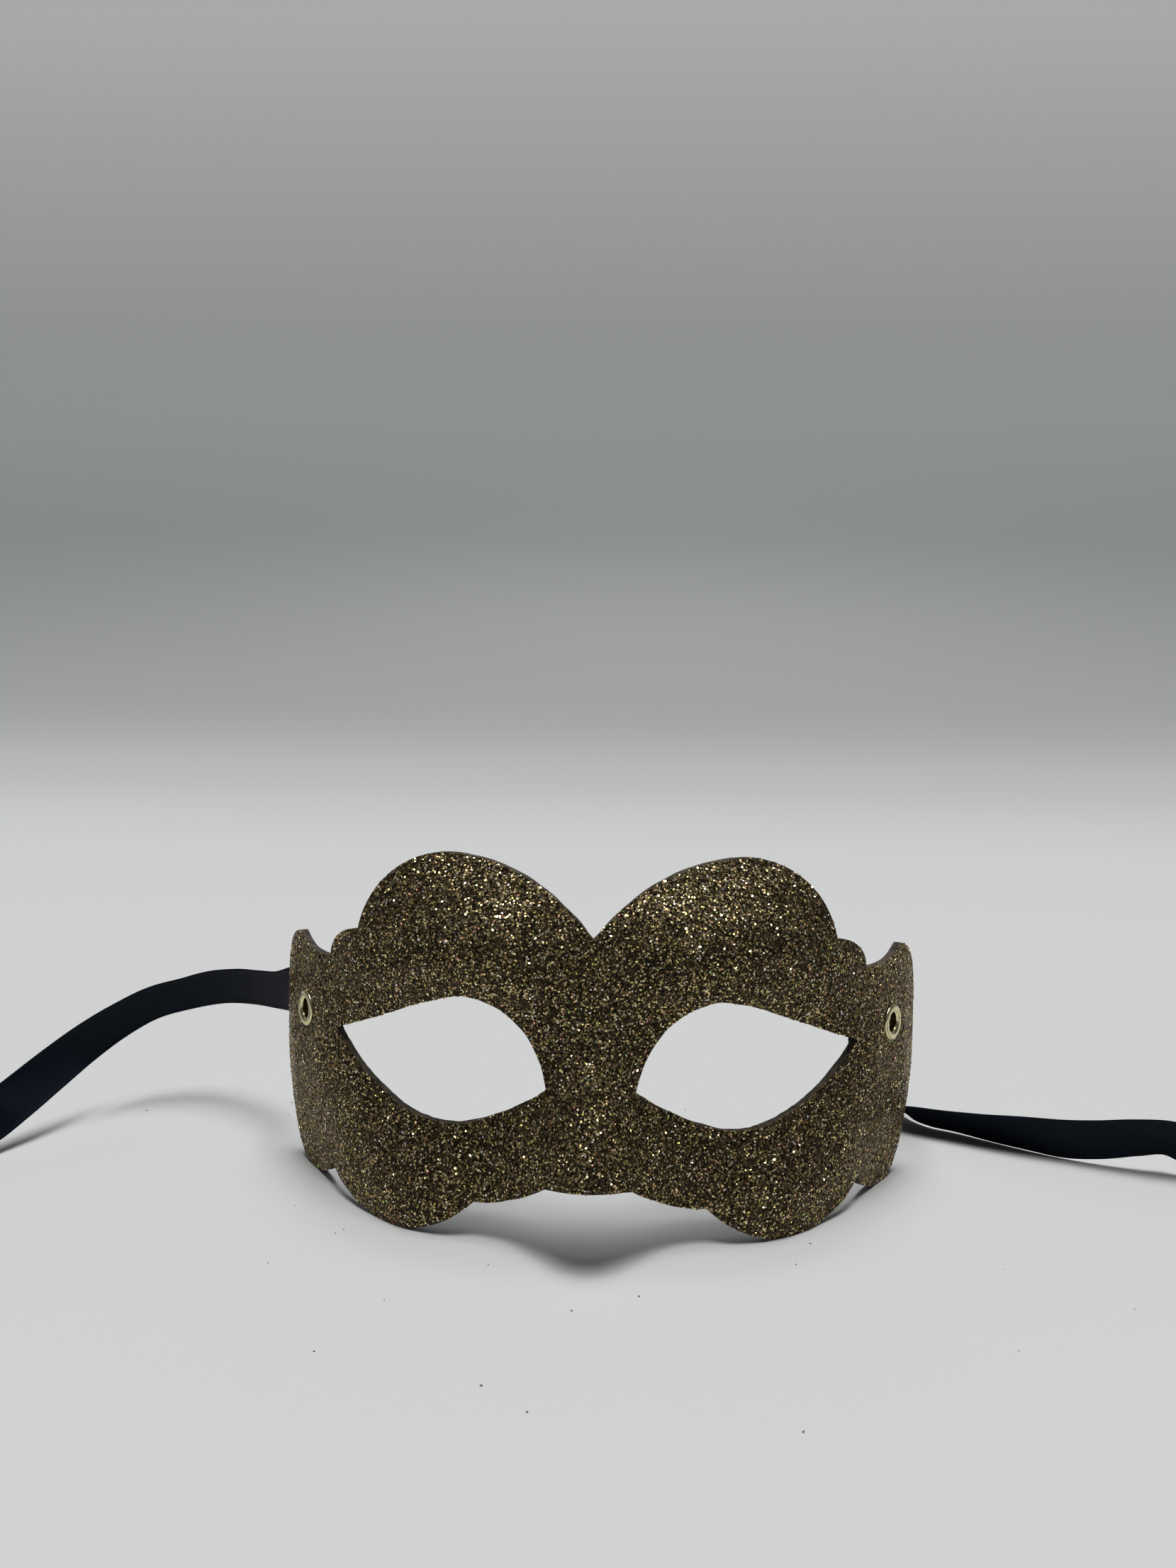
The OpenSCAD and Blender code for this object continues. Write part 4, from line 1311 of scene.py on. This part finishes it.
def sweep():
    """One sheet from in front of the mask to the top of the wall."""
    bend = [(TABLE_END + WALL_BEND * math.sin(a), WALL_BEND * (1 - math.cos(a)))
            for a in np.linspace(0, math.pi / 2, BEND_STEPS)]
    profile = [(FRONT_END, 0.0), (TABLE_END - BEND_LEAD, 0.0), *bend, (TABLE_END + WALL_BEND, WALL_H)]
    points = [(x, y, z) for y, z in profile for x in (-TABLE_HALF, TABLE_HALF)]
    mesh = bpy.data.meshes.new("table_and_wall")
    mesh.from_pydata(points, [], grid_faces(len(profile), 2))
    for polygon in mesh.polygons:
        polygon.use_smooth = True
    return add_object("table_and_wall", mesh)


table = sweep()
print("table and wall:", len(table.data.polygons), "faces")

# %% [markdown]
# ## Paint of the table and the wall
# The wall falls into shade above the table's end and is lit again higher up. More lamps could do that, but
# they'd disturb the light on the mask. So painted shade darkens the paint along the sheet, and a painted glow
# lightens the wall, though the wall is no lamp. Both are read from how far back and how high a place lies,
# which rises without a break along the whole sheet.

# %% Paint material
SHEET_RUN = 3.2
# The table's own pale paint at the front, then painted shade that darkens it along the sheet.
PAINT_WITH_SHADE = [(0.10, (0.412, 0.416, 0.414)), (0.20, (0.395, 0.405, 0.400)), (0.28, (0.362, 0.370, 0.367)),
         (0.41, (0.322, 0.330, 0.326)), (0.46, (0.275, 0.285, 0.281)), (0.55, (0.228, 0.237, 0.234)),
         (0.67, (0.196, 0.204, 0.202))]
# Painted light: a glow of the wall's own, though the wall is no lamp.
PAINTED_WALL_LIGHT = [(0.49, (0.0, 0.0, 0.0)), (0.55, (0.036, 0.038, 0.037)), (0.67, (0.086, 0.092, 0.090)),
        (0.76, (0.170, 0.179, 0.176)), (0.84, (0.220, 0.228, 0.225)), (0.91, (0.272, 0.278, 0.275)),
        (0.98, (0.330, 0.333, 0.326))]


def paint_material():
    """Matt paint darkened by painted shade along the sheet, with a painted glow that lightens the wall."""
    made, tree, shader = material("pale_table", Roughness=0.55, Specular_IOR_Level=0.2, Emission_Strength=1.0)
    parts = node(tree, "ShaderNodeSeparateXYZ", Vector=object_place(tree)).outputs
    share = math_node(tree, "DIVIDE", math_node(tree, "ADD", parts["Y"], parts["Z"]), SHEET_RUN)
    connect(tree, shader, Base_Color=ramp(tree, share, PAINT_WITH_SHADE), Emission_Color=ramp(tree, share, PAINTED_WALL_LIGHT))
    return made


finish_with(table, paint_material())
print("paint in", len(PAINT_WITH_SHADE), "tones and glow in", len(PAINTED_WALL_LIGHT))

# %% [markdown]
# ## Fallen specks
# A few plates always come off, and they lie as dark dots on the table. They could be painted
# on as spots, but then they'd have no height and no shadow. So they are made in the same way
# as the plates on the mask, from a duller foil.

# %% Fallen specks
SPECKS = 36
SPECK_SPREAD, SPECK_BACK = 0.07, 0.09


def speck_material():
    """Dull, dark foil."""
    made, tree, shader = material("dull_speck", Roughness=0.6)
    tint = effect(tree, cloudy, First=(0.05, 0.045, 0.04, 1), Second=(0.16, 0.14, 0.12, 1), Size=0.01)
    connect(tree, shader, Base_Color=tint["Color"])
    return made


speck_x = rng.normal(0, SPECK_SPREAD, SPECKS)
speck_y = rng.uniform(-SPECK_BACK, SPECK_BACK, SPECKS)
speck_at = np.column_stack([speck_x, speck_y, np.full(SPECKS, PLATE_T)])
specks = plates("fallen_specks", speck_at, np.tile([0.0, 0.0, 1.0], (SPECKS, 1)))
finish_with(specks, speck_material())
print(SPECKS, "fallen specks")

# %% [markdown]
# ## The light
# Soft light falls from above, some of it from a little in front and some from a little
# behind. It catches the curled tops of the lobes and the ridge of the nose, leaves the upright
# parts dark, and lays a soft shadow below the nose and the cheeks. Area lamps would fade over
# the long table, so two wide suns give it, with a faint surround that keeps the shadows open.

# %% Lights
SUN_SPREAD = 26
SURROUND, SURROUND_STRENGTH = (0.92, 0.96, 1.0, 1), 0.07


def daylight(name, towards, power):
    """Soft light from a wide patch overhead; towards is the way that it shines."""
    data = bpy.data.lights.new(name, "SUN")
    data.energy = power
    data.angle = math.radians(SUN_SPREAD)
    lamp = add_object(name, data)
    lamp.rotation_mode = "QUATERNION"
    lamp.rotation_quaternion = Vector(towards).to_track_quat("-Z", "Y")


daylight("overhead_front", (-0.02, 0.10, -1.0), 2.75)
daylight("overhead_back", (-0.02, -0.12, -1.0), 1.8)
world = bpy.data.worlds.new("surround")
world.use_nodes = True
world.node_tree.nodes["Background"].inputs["Color"].default_value = SURROUND
world.node_tree.nodes["Background"].inputs["Strength"].default_value = SURROUND_STRENGTH
bpy.context.scene.world = world
bpy.context.scene.view_settings.view_transform = "Standard"
